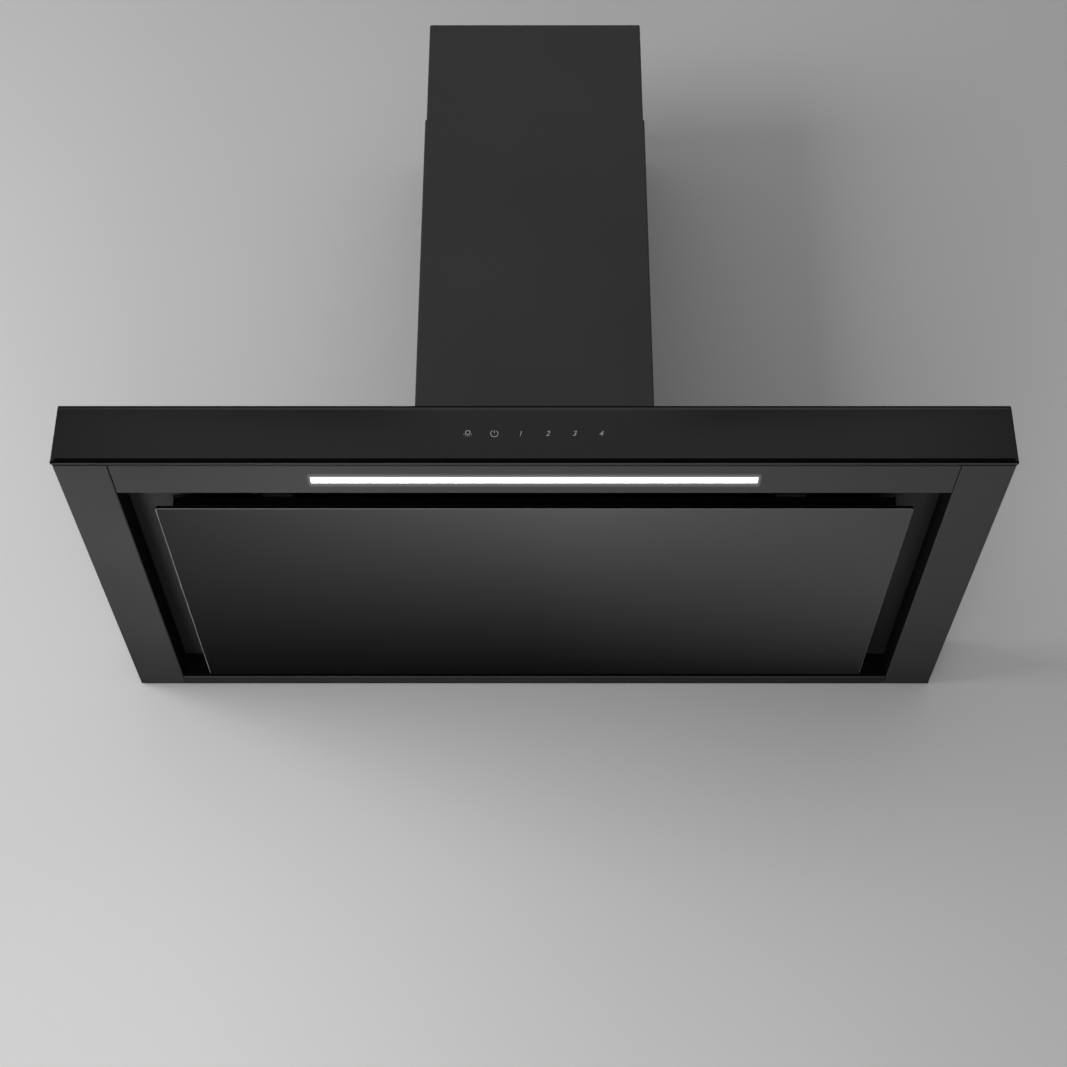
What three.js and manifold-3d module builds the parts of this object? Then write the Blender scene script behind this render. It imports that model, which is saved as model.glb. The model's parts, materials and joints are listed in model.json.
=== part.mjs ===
// Chimney range hood with a hinged perimeter-intake panel. Millimetres, +Z up, front towards -Y.
// The canopy is drawn from its underside (Z = 0) and its wall plane (Y = 0). The whole hood is then
// lowered by half the canopy's height, so that the origin lies on the flat rear face at the wall.

import * as THREE from 'three';
import { mergeVertices } from 'three/addons/utils/BufferGeometryUtils.js';
import Module from 'manifold-3d';

const wasm = await Module();
wasm.setup();

// ---------------------------------------------------------------- driving dimensions

const sheet = 1.2;                 // folded steel
const seatGap = 0.3;               // between pieces that only rest on each other
const slideGap = 0.3;              // between pieces that move past each other

const glassWidth = 900;            // front glass, end to end
const glassOverhang = 0.9;         // glass past the folded body at each end
const canopyDepth = 476;           // wall to the body's front wall
const canopyHeight = 60;           // underside to the top face of the top plate
const frontBorder = 50.4;          // underside strip at the front, with the lamp in it
const sideBorder = 51.1;           // underside strips at the sides
const rearBorder = 16.7;           // underside strip at the wall
const recessHeight = 30;           // underside up to the intake tray
const railLip = 14;                // folded lips that carry the tray

const glassTop = 63.5;             // its top edge stands above the top plate
const glassThickness = 4;
const glassEdgeBevel = 2.6;
const trimHeight = 4.9;            // trim under the front glass
const trimLegHeight = 14;          // leg of the trim behind the glass
const trimLeg = 1;
const trimReveal = 1.7;            // dark groove between the trim and the front strip
const trimRevealHeight = 2.4;

const keyPitch = 24.9;             // touch fields on the front glass
const keyCount = 6;
const keyHeight = 32.2;            // above the underside
const keyPadRadius = 6;
const touchWindowMargin = 9;
const boardThickness = 1.6;
const controlPocketDepth = 14;

const lampLength = 422;
const lampWidth = 11.6;
const lampFromFront = 26.2;        // front wall to the lamp's centre line
const lampProud = 0.5;             // diffuser below the underside
const lampSeat = 2.2;              // diffuser's flange on each side of the slot
const lampChannelHeight = 14;
const ledCount = 24;

const driverLength = 90;
const driverWidth = 30;
const driverHeight = 22;
const driverFromLamp = 89;         // lamp's end to the middle of its driver
const controlBoxLength = 130;
const controlBoxWidth = 28;
const controlBoxHeight = 40;
const controlBoxPlace = -230;      // wall to the middle of the control box

const filterCount = 2;
const filterLength = 320;
const filterThickness = 9;
const filterRail = 12;             // visible width of a cassette's rail
const filterSkin = 1.2;            // folded rail's own thickness
const filterClearance = 1;         // cassette to its window, each side
const filterBar = 8;               // tray's bar between the two windows
const filterSideMargin = 42;       // side of the recess to the outer window
const filterFromWall = 50;         // wall to the windows' rear edge
const pleatPitch = 10;
const pleatSheet = 0.8;
const filterTabWidth = 20;
const filterTabReach = 6;

const latchWidth = 60;
const latchLength = 20;
const latchThickness = 4;
const latchTravel = 7;
const latchTongue = 24;            // width of the tongue
const latchReach = 6;              // tongue past the cassette's front edge
const latchPullDrop = 4.5;         // finger rib below the latch plate
const latchPullWidth = 30;

const panelSideGap = 31.5;         // slots beside the panel
const panelFrontGap = 29.4;        // slot in front of the panel
const panelRearGap = 7.9;          // slot behind it, on the hinge side
const panelGlass = 4;
const panelCornerRadius = 3;
const panHeight = 12;              // steel pan behind the glass
const panInset = 4.5;              // pan's rim inside the glass edge, front and rear
const panSideInset = 16;           // and at the sides
const panSheet = 1;
const panRibWidth = 14;
const panRibHeight = 4;
const panRibMargin = 40;          // pan's front rim and the hinges' leaves to the ribs
const panRibCount = 4;

const hingeFromSide = 66.5;        // panel's side edge to the middle of each hinge
const hingeFromRearEdge = 9.4;     // panel's rear edge to the hinge axis
const hingeHeight = 10;            // hinge axis above the underside
const hingePinRadius = 2.2;
const hingePinHead = 3.6;
const hingeBoreRadius = 2.6;
const hingeKnuckleRadius = 4.5;
const hingeKnuckleWidth = 15;
const hingeEar = 2.5;
const hingeArm = 8;                // thickness of the bracket's arm
const hingeLeafLength = 26;
const hingeLeafSheet = 1.5;
const hingeBaseWidth = 44;

const catchFromSide = 116.5;       // panel's side edge to the middle of each magnetic catch
const catchWidth = 30;
const catchDepth = 14;
const catchFromFrontEdge = 7;      // panel's front edge to the catch
const strikerSheet = 1.2;

const coverWidth = 260;            // lower duct cover
const coverDepth = 250;
const coverReturn = 15;            // folded returns at the wall
const bendRadius = 2.4;
const lowerCoverLength = 558.3;
const upperCoverLength = 520;
const upperCoverShown = 152;       // upper cover above the lower one, as in the photograph
const ventRows = 6;
const ventLength = 110;
const ventHeight = 4;
const ventPitch = 10;
const ventFromTop = 30;
const bracketHeight = 28;
const bracketBelowTop = 4;
const bracketEarLength = 36;

const airBoxSideRoom = 14;         // duct cover to the air box, each side
const airBoxFrontRoom = 14;
const airBoxRear = 8;              // wall to its rear wall
const airBoxHeight = 248;          // above the canopy's top plate
const airBoxFlange = 7;
const airOpeningMargin = 10;       // canopy's air opening inside the air box walls
const hangingPlateMargin = 8;      // air box's side to the plate's end
const hangingPlateHeight = 66;
const hangingSlotSpread = 78;
const hangingSlotRadius = 6;

const impellerRadius = 65;
const impellerWidth = 114;
const bladeLength = 12;            // radial length of a blade
const bladeThickness = 1.2;
const bladeCount = 26;
const bladeBow = 3.2;              // rise of the blade's arc
const bladeLean = 9;               // lead of the outer edge, degrees
const impellerRing = 2.4;
const impellerDisc = 2;
const hubRadius = 12;
const hubLength = 15;
const shaftRadius = 4;
const shaftBoreGap = 0.3;

const scrollWall = 2.5;
const scrollClearance = 7;         // impeller to the scroll at the tongue
const scrollGrowth = 32;           // growth of the spiral from the tongue to the outlet
const scrollSideGap = 7;           // impeller's end to the scroll's side wall
const scrollOutletHeight = 100;    // impeller axis to the outlet's rim
const scrollTongueOffset = 10;     // impeller axis to the outlet's inner wall
const scrollTongueHeight = 80;
const inletRadius = 51;
const inletLipWidth = 6;
const inletLipHeight = 4;
const blowerAxisFromWall = 98;
const blowerAxisHeight = 170;      // above the underside

const motorRadius = 40;
const motorWall = 1.2;
const motorFromDisc = 8;           // impeller disc to the motor's end bell
const bearingRadius = 9;
const bearingLength = 6;
const statorRadius = 38.5;
const rotorRadius = 23.4;
const rotorAirGap = 0.6;
const statorLength = 42;
const spiderThickness = 2.5;
const spiderArm = 12;
const spiderArms = 3;
const capacitorRadius = 14;
const capacitorLength = 62;
const capacitorFromRear = 40;      // air box's rear wall to its axis
const capacitorBelowAxis = 20;     // blower's axis down to its foot

const collarRadius = 75;           // 150 mm duct
const collarWall = 2;
const collarHeight = 37;
const collarFlange = 13;
const collarFromWall = 140;
const dampingPinHeight = 14;       // pin above the collar's foot
const damperPinRadius = 2;
const damperKnuckleRadius = 4;
const damperKnuckles = 4;
const damperKnuckleLength = 29.4;
const flapThickness = 1;
const flapRadius = 70.5;
const flapLip = 5;                 // stop ring inside the collar

const glandRadius = 9;
const glandBore = 4;
const glandHeight = 22;

// ---------------------------------------------------------------- derived places

const canopyWidth = glassWidth - 2 * glassOverhang;
const halfBody = canopyWidth / 2;
const bodyFront = -canopyDepth;
const openingHalf = halfBody - sideBorder;
const openingFront = bodyFront + frontBorder;
const openingRear = -rearBorder;
const trayBottom = recessHeight;
const trayTop = recessHeight + sheet;
const plateBottom = canopyHeight - sheet;
const panelFront = openingFront + panelFrontGap;
const panelRear = openingRear - panelRearGap;
const panTop = panelGlass + panHeight;
const hingeY = panelRear - hingeFromRearEdge;
const panelWidth = 2 * (openingHalf - panelSideGap);
const hingeSpread = panelWidth / 2 - hingeFromSide;
const catchSpread = panelWidth / 2 - catchFromSide;
const driverPlace = -lampLength / 2 - driverFromLamp;
const filterWidth = openingHalf - filterSideMargin - filterBar / 2 - 2 * filterClearance;
const filterRear = -filterFromWall;
const filterFront = filterRear - filterLength - 2 * filterClearance;
const airBoxWidth = coverWidth - 2 * airBoxSideRoom;
const airBoxFront = coverDepth - airBoxFrontRoom;
const hangingPlateWidth = airBoxWidth - 2 * hangingPlateMargin;
const coverInner = coverWidth / 2 - sheet;
const upperHalf = coverInner - slideGap;
const upperFront = -coverDepth + sheet + slideGap;
const upperRear = -sheet - slideGap;
const coverTop = canopyHeight + lowerCoverLength;
const upperTop = coverTop + upperCoverShown;
const airBoxTop = canopyHeight + airBoxHeight;
const scrollHalf = impellerWidth / 2 + scrollSideGap + scrollWall;

// ---------------------------------------------------------------- geometry helpers

const segments = 32;

/** A prism along X from points in the YZ plane, counter-clockwise as seen from +X. */
function prismX(outline, from, to) {
  const solid = extrude(outline, to - from);
  solid.applyMatrix4(new THREE.Matrix4().set(0, 0, 1, from, 1, 0, 0, 0, 0, 1, 0, 0, 0, 0, 0, 1));
  return solid;
}

/** A prism along Y from points in the XZ plane. */
function prismY(outline, from, to) {
  const solid = extrude(outline, to - from);
  solid.rotateX(Math.PI / 2);
  solid.translate(0, to, 0);
  return solid;
}

/** A prism along Z from points in the XY plane. */
function prismZ(outline, from, to) {
  const solid = extrude(outline, to - from);
  solid.translate(0, 0, from);
  return solid;
}

function extrude(outline, depth) {
  const shape = outline instanceof THREE.Shape ? outline : polygon(outline);
  return new THREE.ExtrudeGeometry(shape, { depth, bevelEnabled: false, curveSegments: 3 });
}

function polygon(points) {
  return new THREE.Shape(points.map(([x, y]) => new THREE.Vector2(x, y)));
}

function box(x0, x1, y0, y1, z0, z1) {
  const solid = new THREE.BoxGeometry(x1 - x0, y1 - y0, z1 - z0);
  solid.translate((x0 + x1) / 2, (y0 + y1) / 2, (z0 + z1) / 2);
  return solid;
}

/** A body of revolution about X. The profile is a list of [radius, x], closed, outer side first. */
function revolveX(profile, sides = segments) {
  const solid = revolve(profile, sides);
  solid.rotateZ(-Math.PI / 2);
  return solid;
}

function revolveY(profile, sides = segments) {
  return revolve(profile, sides);
}

function revolveZ(profile, sides = segments) {
  const solid = revolve(profile, sides);
  solid.rotateX(Math.PI / 2);
  return solid;
}

function revolve(profile, sides) {
  const points = profile.map(([radius, along]) => new THREE.Vector2(radius, along));
  return new THREE.LatheGeometry(points, sides);
}

/** A plain round bar, or a ring when the inner radius is over 0, as a profile for a revolve. */
function ringProfile(inner, outer, from, to) {
  if (inner > 0) return [[outer, from], [outer, to], [inner, to], [inner, from], [outer, from]];
  return [[0, from], [outer, from], [outer, to], [0, to]];
}

function toManifold(geometry) {
  const bare = geometry.clone();
  bare.deleteAttribute('normal');
  bare.deleteAttribute('uv');
  const merged = mergeVertices(bare, 1e-4);
  const index = merged.index.array;
  const triangles = [];
  for (let i = 0; i < index.length; i += 3) {
    const [a, b, c] = [index[i], index[i + 1], index[i + 2]];
    if (a !== b && b !== c && c !== a) triangles.push(a, b, c);
  }
  const mesh = new wasm.Mesh({
    numProp: 3,
    vertProperties: new Float32Array(merged.attributes.position.array),
    triVerts: new Uint32Array(triangles),
  });
  return new wasm.Manifold(mesh);
}

function toGeometry(manifold) {
  const mesh = manifold.getMesh();
  const geometry = new THREE.BufferGeometry();
  geometry.setAttribute('position', new THREE.BufferAttribute(mesh.vertProperties, 3));
  geometry.setIndex(new THREE.BufferAttribute(mesh.triVerts, 1));
  geometry.computeVertexNormals();
  return geometry;
}

function join(...geometries) {
  let result = toManifold(geometries[0]);
  for (const geometry of geometries.slice(1)) result = result.add(toManifold(geometry));
  return toGeometry(result);
}

function cut(geometry, ...tools) {
  let result = toManifold(geometry);
  for (const tool of tools) result = result.subtract(toManifold(tool));
  return toGeometry(result);
}

function common(geometry, tool) {
  return toGeometry(toManifold(geometry).intersect(toManifold(tool)));
}

/** A rectangle with round corners. */
function roundedRectangle(x0, x1, y0, y1, radius) {
  const shape = new THREE.Shape();
  shape.moveTo(x0 + radius, y0);
  shape.lineTo(x1 - radius, y0);
  shape.absarc(x1 - radius, y0 + radius, radius, -Math.PI / 2, 0, false);
  shape.lineTo(x1, y1 - radius);
  shape.absarc(x1 - radius, y1 - radius, radius, 0, Math.PI / 2, false);
  shape.lineTo(x0 + radius, y1);
  shape.absarc(x0 + radius, y1 - radius, radius, Math.PI / 2, Math.PI, false);
  shape.lineTo(x0, y0 + radius);
  shape.absarc(x0 + radius, y0 + radius, radius, Math.PI, 1.5 * Math.PI, false);
  return shape;
}

/** Mirrors a geometry to the other side of X = 0, with its faces still pointing out. */
function mirrored(geometry) {
  const copy = mergeVertices(stripped(geometry), 1e-4);
  copy.scale(-1, 1, 1);
  const index = copy.index;
  for (let i = 0; i < index.count; i += 3) {
    const second = index.getX(i + 1);
    index.setX(i + 1, index.getX(i + 2));
    index.setX(i + 2, second);
  }
  copy.computeVertexNormals();
  return copy;
}

function stripped(geometry) {
  const copy = geometry.clone();
  copy.deleteAttribute('normal');
  copy.deleteAttribute('uv');
  return copy;
}

// ---------------------------------------------------------------- materials

function finish(color, roughness, metalness) {
  return new THREE.MeshStandardMaterial({ color, roughness, metalness });
}

const blackSteel = finish(0x2c2c2c, 0.45, 0.2);
const blackGlass = finish(0x1d1d1d, 0.05, 0);
const zincSteel = finish(0x8f9294, 0.45, 0.9);
const aluminium = finish(0xb4b6b8, 0.4, 0.9);
const blackAluminium = finish(0x1c1c1d, 0.45, 0.6);
const blackPlastic = finish(0x1b1b1c, 0.6, 0);
const greyPlastic = finish(0x6c6e70, 0.6, 0);
const whitePlastic = finish(0xe8e8e6, 0.5, 0);
const diffuserPlastic = finish(0xf6f6f2, 0.5, 0);
const circuitBoard = finish(0x1f5a35, 0.6, 0);
const turnedSteel = finish(0xa0a2a4, 0.3, 1);
const windings = finish(0x9a5a2c, 0.5, 0.5);

const hood = new THREE.Group();
hood.position.z = -canopyHeight / 2;

function place(parent, name, geometry, material, position = [0, 0, 0]) {
  const mesh = new THREE.Mesh(geometry, material);
  mesh.name = name;
  mesh.position.set(...position);
  parent.add(mesh);
  return mesh;
}

/** Adds one piece on each side of the middle plane: the given shape at the right, mirrored at the left. */
function placePair(parent, name, geometry, material, offset = 0, y = 0, z = 0) {
  place(parent, `${name}_right`, geometry, material, [offset, y, z]);
  place(parent, `${name}_left`, mirrored(geometry), material, [-offset, y, z]);
}

// ---------------------------------------------------------------- canopy body

const canopy = new THREE.Group();
hood.add(canopy);

/** Top plate and rear wall, folded from one sheet, with the air opening to the blower. */
function canopyTop() {
  const fold = [
    [bodyFront, plateBottom], [-sheet, plateBottom], [-sheet, 0], [0, 0],
    [0, canopyHeight], [bodyFront, canopyHeight],
  ];
  const half = airBoxWidth / 2 - airOpeningMargin;
  const opening = box(-half, half, -airBoxFront + airOpeningMargin, -airBoxRear - airOpeningMargin,
    plateBottom - 1, canopyHeight + 1);
  return cut(prismX(fold, -halfBody, halfBody), opening);
}

/** Right side channel: outer wall, underside strip, inner wall of the recess and the tray's lip. */
function sideRail() {
  const inner = openingHalf;
  const fold = [
    [inner, 0], [halfBody, 0], [halfBody, plateBottom], [halfBody - sheet, plateBottom],
    [halfBody - sheet, sheet], [inner + sheet, sheet], [inner + sheet, trayBottom - sheet],
    [inner + railLip, trayBottom - sheet], [inner + railLip, trayBottom], [inner, trayBottom],
  ];
  const channel = prismY(fold, bodyFront, -sheet);
  const frontFlap = box(inner + sheet / 2, halfBody - sheet / 2, bodyFront, bodyFront + sheet,
    sheet / 2, plateBottom);
  return join(channel, frontFlap);
}

/** Front channel with the lamp's slot in its underside and the touch board's window in its wall. */
function frontRail() {
  const inner = openingFront;
  const fold = [
    [bodyFront, 0], [inner, 0], [inner, trayBottom], [inner - railLip, trayBottom],
    [inner - railLip, trayBottom - sheet], [inner - sheet, trayBottom - sheet], [inner - sheet, sheet],
    [bodyFront + sheet, sheet], [bodyFront + sheet, plateBottom], [bodyFront, plateBottom],
  ];
  const half = openingHalf - seatGap;
  const lampY = bodyFront + lampFromFront;
  const slot = box(-lampLength / 2 - slideGap, lampLength / 2 + slideGap,
    lampY - lampWidth / 2 - slideGap, lampY + lampWidth / 2 + slideGap, -1, sheet + 1);
  const windowHalf = keyPitch * (keyCount - 1) / 2 + touchWindowMargin;
  const window = box(-windowHalf, windowHalf, bodyFront - 1, bodyFront + sheet + 1,
    keyHeight - touchWindowMargin, keyHeight + touchWindowMargin);
  return cut(prismX(fold, -half, half), slot, window);
}

/** Narrow channel along the wall behind the panel. */
function rearRail() {
  const front = openingRear;
  const back = -sheet;
  const fold = [
    [front, 0], [back, 0], [back, recessHeight / 2], [back - sheet, recessHeight / 2],
    [back - sheet, sheet], [front + sheet, sheet], [front + sheet, trayBottom - sheet],
    [back - 2 * sheet, trayBottom - sheet], [back - 2 * sheet, trayBottom], [front, trayBottom],
  ];
  const half = openingHalf - seatGap;
  return prismX(fold, -half, half);
}

/** Intake tray: the recess's ceiling, with one window for each grease filter. */
function intakeTray() {
  const half = openingHalf + railLip - 2;
  const plate = box(-half, half, openingFront - railLip + 2, -sheet - 2, trayBottom, trayTop);
  const windows = filterSides().map((side) => {
    const middle = side * filterMiddle();
    const reach = filterWidth / 2 + filterClearance;
    return box(middle - reach, middle + reach, filterFront, filterRear, trayBottom - 1, trayTop + 1);
  });
  return cut(plate, ...windows);
}

function filterSides() {
  return Array.from({ length: filterCount }, (_, i) => 2 * i - 1);
}

function filterMiddle() {
  return filterBar / 2 + filterClearance + filterWidth / 2;
}

place(canopy, 'canopy_top', canopyTop(), blackSteel);
placePair(canopy, 'side_rail', sideRail(), blackSteel);
place(canopy, 'front_rail', frontRail(), blackSteel);
place(canopy, 'rear_rail', rearRail(), blackSteel);
place(canopy, 'intake_tray', intakeTray(), blackSteel);

// ---------------------------------------------------------------- front glass and its controls

/** Plain glass plate with a bevel along its upper front edge. */
function frontGlass() {
  const back = bodyFront - seatGap - trimLeg;
  const face = back - glassThickness;
  const section = [
    [back, trimHeight], [back, glassTop], [face + glassEdgeBevel, glassTop],
    [face, glassTop - glassEdgeBevel], [face, trimHeight],
  ];
  return prismX(section, -glassWidth / 2, glassWidth / 2);
}

/** Angle trim that the glass stands on, with its leg behind the glass. */
function frontTrim() {
  const back = bodyFront - seatGap;
  const face = back - trimLeg - glassThickness;
  const section = [
    [face, 0], [back - trimReveal, 0], [back - trimReveal, trimRevealHeight],
    [back, trimRevealHeight], [back, trimLegHeight], [back - trimLeg, trimLegHeight],
    [back - trimLeg, trimHeight], [face, trimHeight],
  ];
  return prismX(section, -glassWidth / 2, glassWidth / 2);
}

/** Circuit board behind the front wall, with a sensing pad for each touch field. */
function touchBoard() {
  const half = keyPitch * (keyCount - 1) / 2 + 2 * touchWindowMargin;
  const front = bodyFront + sheet;
  const board = box(-half, half, front, front + boardThickness,
    keyHeight - 2 * touchWindowMargin, keyHeight + 2 * touchWindowMargin);
  const pads = Array.from({ length: keyCount }, (_, i) => {
    const pad = revolveY(ringProfile(0, keyPadRadius, bodyFront, front + boardThickness / 2), 12);
    pad.translate(keyX(i), 0, keyHeight);
    return pad;
  });
  return join(board, ...pads);
}

function keyX(i) {
  return (i - (keyCount - 1) / 2) * keyPitch;
}

/** Open-fronted cover over the touch board. */
function touchBoardCover() {
  const half = keyPitch * (keyCount - 1) / 2 + 2 * touchWindowMargin;
  const rise = 2 * touchWindowMargin;
  const front = bodyFront + sheet;
  const back = front + controlPocketDepth;
  const wall = boardThickness;
  const shell = box(-half - wall - seatGap, half + wall + seatGap, front, back,
    keyHeight - rise - wall - seatGap, keyHeight + rise + wall + seatGap);
  const hollow = box(-half - seatGap, half + seatGap, front - 1, back - wall,
    keyHeight - rise - seatGap, keyHeight + rise + seatGap);
  const cableSlot = box(half - 20, half - 4, back - wall - 1, back + 1,
    keyHeight - rise, keyHeight - rise + 12);
  return cut(shell, hollow, cableSlot);
}

place(canopy, 'front_glass', frontGlass(), blackGlass);
place(canopy, 'front_trim', frontTrim(), blackSteel);
place(canopy, 'touch_board', touchBoard(), circuitBoard);
place(canopy, 'touch_board_cover', touchBoardCover(), blackPlastic);

// ---------------------------------------------------------------- lamp

const lamp = new THREE.Group();
lamp.position.set(0, bodyFront + lampFromFront, 0);
canopy.add(lamp);

/** Diffuser: a lens in the slot, with flanges that lie on the strip's upper face. */
function lightDiffuser() {
  const lens = lampWidth / 2;
  const flange = lens + lampSeat;
  const section = [
    [-lens, -lampProud], [lens, -lampProud], [lens, sheet], [flange, sheet],
    [flange, 2 * sheet], [-flange, 2 * sheet], [-flange, sheet], [-lens, sheet],
  ];
  return prismX(section, -lampLength / 2, lampLength / 2);
}

/** Inverted channel that closes the lamp from above and carries its board. */
function lightChannel() {
  const reach = lampWidth / 2 + lampSeat + seatGap;
  const outer = reach + sheet;
  const shelf = lampChannelHeight / 2;
  const ledge = lampWidth / 2;
  const section = [
    [-outer, sheet], [-reach, sheet], [-reach, shelf], [-ledge, shelf], [-ledge, shelf + 1],
    [-reach, shelf + 1], [-reach, lampChannelHeight - sheet], [reach, lampChannelHeight - sheet],
    [reach, shelf + 1], [ledge, shelf + 1], [ledge, shelf], [reach, shelf], [reach, sheet],
    [outer, sheet], [outer, lampChannelHeight], [-outer, lampChannelHeight],
  ];
  return prismX(section, -lampLength / 2 - 2, lampLength / 2 + 2);
}

/** Board with its row of light-emitting diodes facing down. */
function ledBoard() {
  const half = lampWidth / 2 + lampSeat - seatGap;
  const bottom = lampChannelHeight / 2 + 1;
  const board = box(-lampLength / 2, lampLength / 2, -half, half, bottom, bottom + boardThickness);
  const pitch = lampLength / ledCount;
  const diodes = Array.from({ length: ledCount }, (_, i) => {
    const x = (i - (ledCount - 1) / 2) * pitch;
    return box(x - 2.5, x + 2.5, -2.5, 2.5, bottom - 1, bottom + boardThickness / 2);
  });
  return join(board, ...diodes);
}

/** Moulded case with a screw ear at each end. */
function mouldedCase(length, width, height) {
  const body = prismZ(roundedRectangle(-length / 2, length / 2, -width / 2, width / 2, 4), 0, height);
  const ears = prismZ(roundedRectangle(-length / 2 - 10, length / 2 + 10, -8, 8, 6), 0, 2.5);
  const holes = [-1, 1].map((side) => {
    const hole = revolveZ(ringProfile(0, 2.2, -1, 4), 16);
    hole.translate(side * (length / 2 + 4), 0, 0);
    return hole;
  });
  const socket = box(length / 2 - 8, length / 2 + 1, -width / 4, width / 4, height / 2, height - 3);
  return cut(join(body, ears), ...holes, socket);
}


place(lamp, 'light_diffuser', lightDiffuser(), diffuserPlastic);
place(lamp, 'light_channel', lightChannel(), aluminium);
place(lamp, 'led_board', ledBoard(), circuitBoard);
place(lamp, 'led_driver', mouldedCase(driverLength, driverWidth, driverHeight), whitePlastic,
  [driverPlace, 0, sheet]);

const controlBox = mouldedCase(controlBoxLength, controlBoxWidth, controlBoxHeight);
controlBox.rotateZ(Math.PI / 2);
place(canopy, 'control_box', controlBox, blackPlastic,
  [(openingHalf + railLip + halfBody) / 2, controlBoxPlace, sheet]);

// ---------------------------------------------------------------- grease filters

/** Cassette rail: a folded channel round the mesh, with the latch's housing in its front side. */
function filterFrame() {
  const halfW = filterWidth / 2;
  const halfL = filterLength / 2;
  const block = outlineBlock();
  const outer = box(-halfW, halfW, -halfL, halfL, 0, filterThickness);
  const mouth = box(-halfW + filterRail, halfW - filterRail, -halfL + filterRail, halfL - filterRail,
    -1, filterThickness + 1);
  const groove = box(-halfW + filterSkin, halfW - filterSkin, -halfL + filterSkin, halfL - filterSkin,
    filterSkin, filterThickness - filterSkin);
  const housing = box(-block.half, block.half, -halfL, block.back, 0, filterThickness);
  const tabs = [-1, 1].map((side) => {
    const x = side * (halfW - 2 * filterTabWidth);
    return box(x - filterTabWidth / 2, x + filterTabWidth / 2, halfL - filterSkin,
      halfL + filterTabReach, sheet + seatGap, 2 * sheet + seatGap);
  });
  return cut(join(cut(outer, mouth, groove), housing, ...tabs), ...latchSpace());
}

/** Room taken by the latch's housing: its half width and its rear end. */
function outlineBlock() {
  return {
    half: latchWidth / 2 + 3 * filterSkin,
    back: -filterLength / 2 + latchLength + latchTravel + 5 * filterSkin,
  };
}

/** Hollow for the latch plate, the open mouth for the finger rib and the slot for the tongue. */
function latchSpace() {
  const front = -filterLength / 2;
  const plateFront = front + 2 * filterSkin;
  const plateBack = plateFront + latchLength + latchTravel + 2 * slideGap;
  const floor = sheet + slideGap / 2;
  const roof = floor + latchThickness + 2 * slideGap;
  const pull = latchPullWidth / 2 + 4;
  return [
    box(-latchWidth / 2 - slideGap, latchWidth / 2 + slideGap, plateFront, plateBack, floor, roof),
    box(-pull, pull, plateFront, plateBack, -1, floor + 1),
    box(-latchTongue / 2 - slideGap, latchTongue / 2 + slideGap, front - 1, plateFront + 1,
      floor, floor + latchThickness / 2 + 2 * slideGap),
  ];
}

/** Pleated aluminium mesh pack, held in the rail's groove. */
function filterMesh() {
  const halfW = filterWidth / 2 - filterSkin - seatGap;
  const halfL = filterLength / 2 - filterSkin - seatGap;
  const low = filterSkin + seatGap;
  const high = filterThickness - filterSkin - seatGap - pleatSheet;
  const pleats = Math.round(2 * halfW / pleatPitch);
  const crest = [];
  for (let i = 0; i <= 2 * pleats; i += 1) {
    crest.push([-halfW + (i * halfW) / pleats, i % 2 ? high : low]);
  }
  const upper = crest.map(([x, z]) => [x, z + pleatSheet]).reverse();
  const block = outlineBlock();
  const notch = box(-block.half - seatGap, block.half + seatGap, -filterLength / 2 - 1,
    block.back + seatGap, -1, filterThickness + 1);
  return cut(prismY([...crest, ...upper], -halfL, halfL), notch);
}

/** Sprung latch: a plate with a tongue over the tray's edge and a finger rib below. */
function filterLatch() {
  const front = -filterLength / 2;
  const plateFront = front + 2 * filterSkin + slideGap;
  const bottom = sheet + slideGap * 1.5;
  const plate = box(-latchWidth / 2, latchWidth / 2, plateFront, plateFront + latchLength,
    bottom, bottom + latchThickness);
  const tongueEnd = front - latchReach;
  const tongue = prismX([
    [plateFront + 2, bottom], [plateFront + 2, bottom + latchThickness / 2],
    [tongueEnd + 2, bottom + latchThickness / 2], [tongueEnd, bottom + latchThickness / 4],
    [tongueEnd, bottom],
  ], -latchTongue / 2, latchTongue / 2);
  const rib = box(-latchPullWidth / 2, latchPullWidth / 2, plateFront + latchLength / 2 - 2,
    plateFront + latchLength / 2 + 2, bottom - latchPullDrop, bottom + 1);
  return join(plate, tongue, rib);
}

const filterY = (filterFront + filterRear) / 2;
placePair(canopy, 'filter_frame', filterFrame(), blackAluminium, filterMiddle(), filterY, trayBottom);
placePair(canopy, 'filter_mesh', filterMesh(), blackAluminium, filterMiddle(), filterY, trayBottom);
placePair(canopy, 'filter_latch', filterLatch(), turnedSteel, filterMiddle(), filterY, trayBottom);

// ---------------------------------------------------------------- perimeter panel and its hinges

const panel = new THREE.Group();
panel.position.set(0, hingeY, hingeHeight);
canopy.add(panel);

const glassFront = panelFront - hingeY;
const glassRear = panelRear - hingeY;
const glassBottom = -hingeHeight;
const panFloor = glassBottom + panelGlass;
const panRimTop = panFloor + panHeight;
const earOuter = hingeKnuckleWidth / 2 + slideGap + hingeEar;

function panelGlassPlate() {
  return prismZ(roundedRectangle(-panelWidth / 2, panelWidth / 2, glassFront, glassRear,
    panelCornerRadius), glassBottom, panFloor);
}

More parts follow.
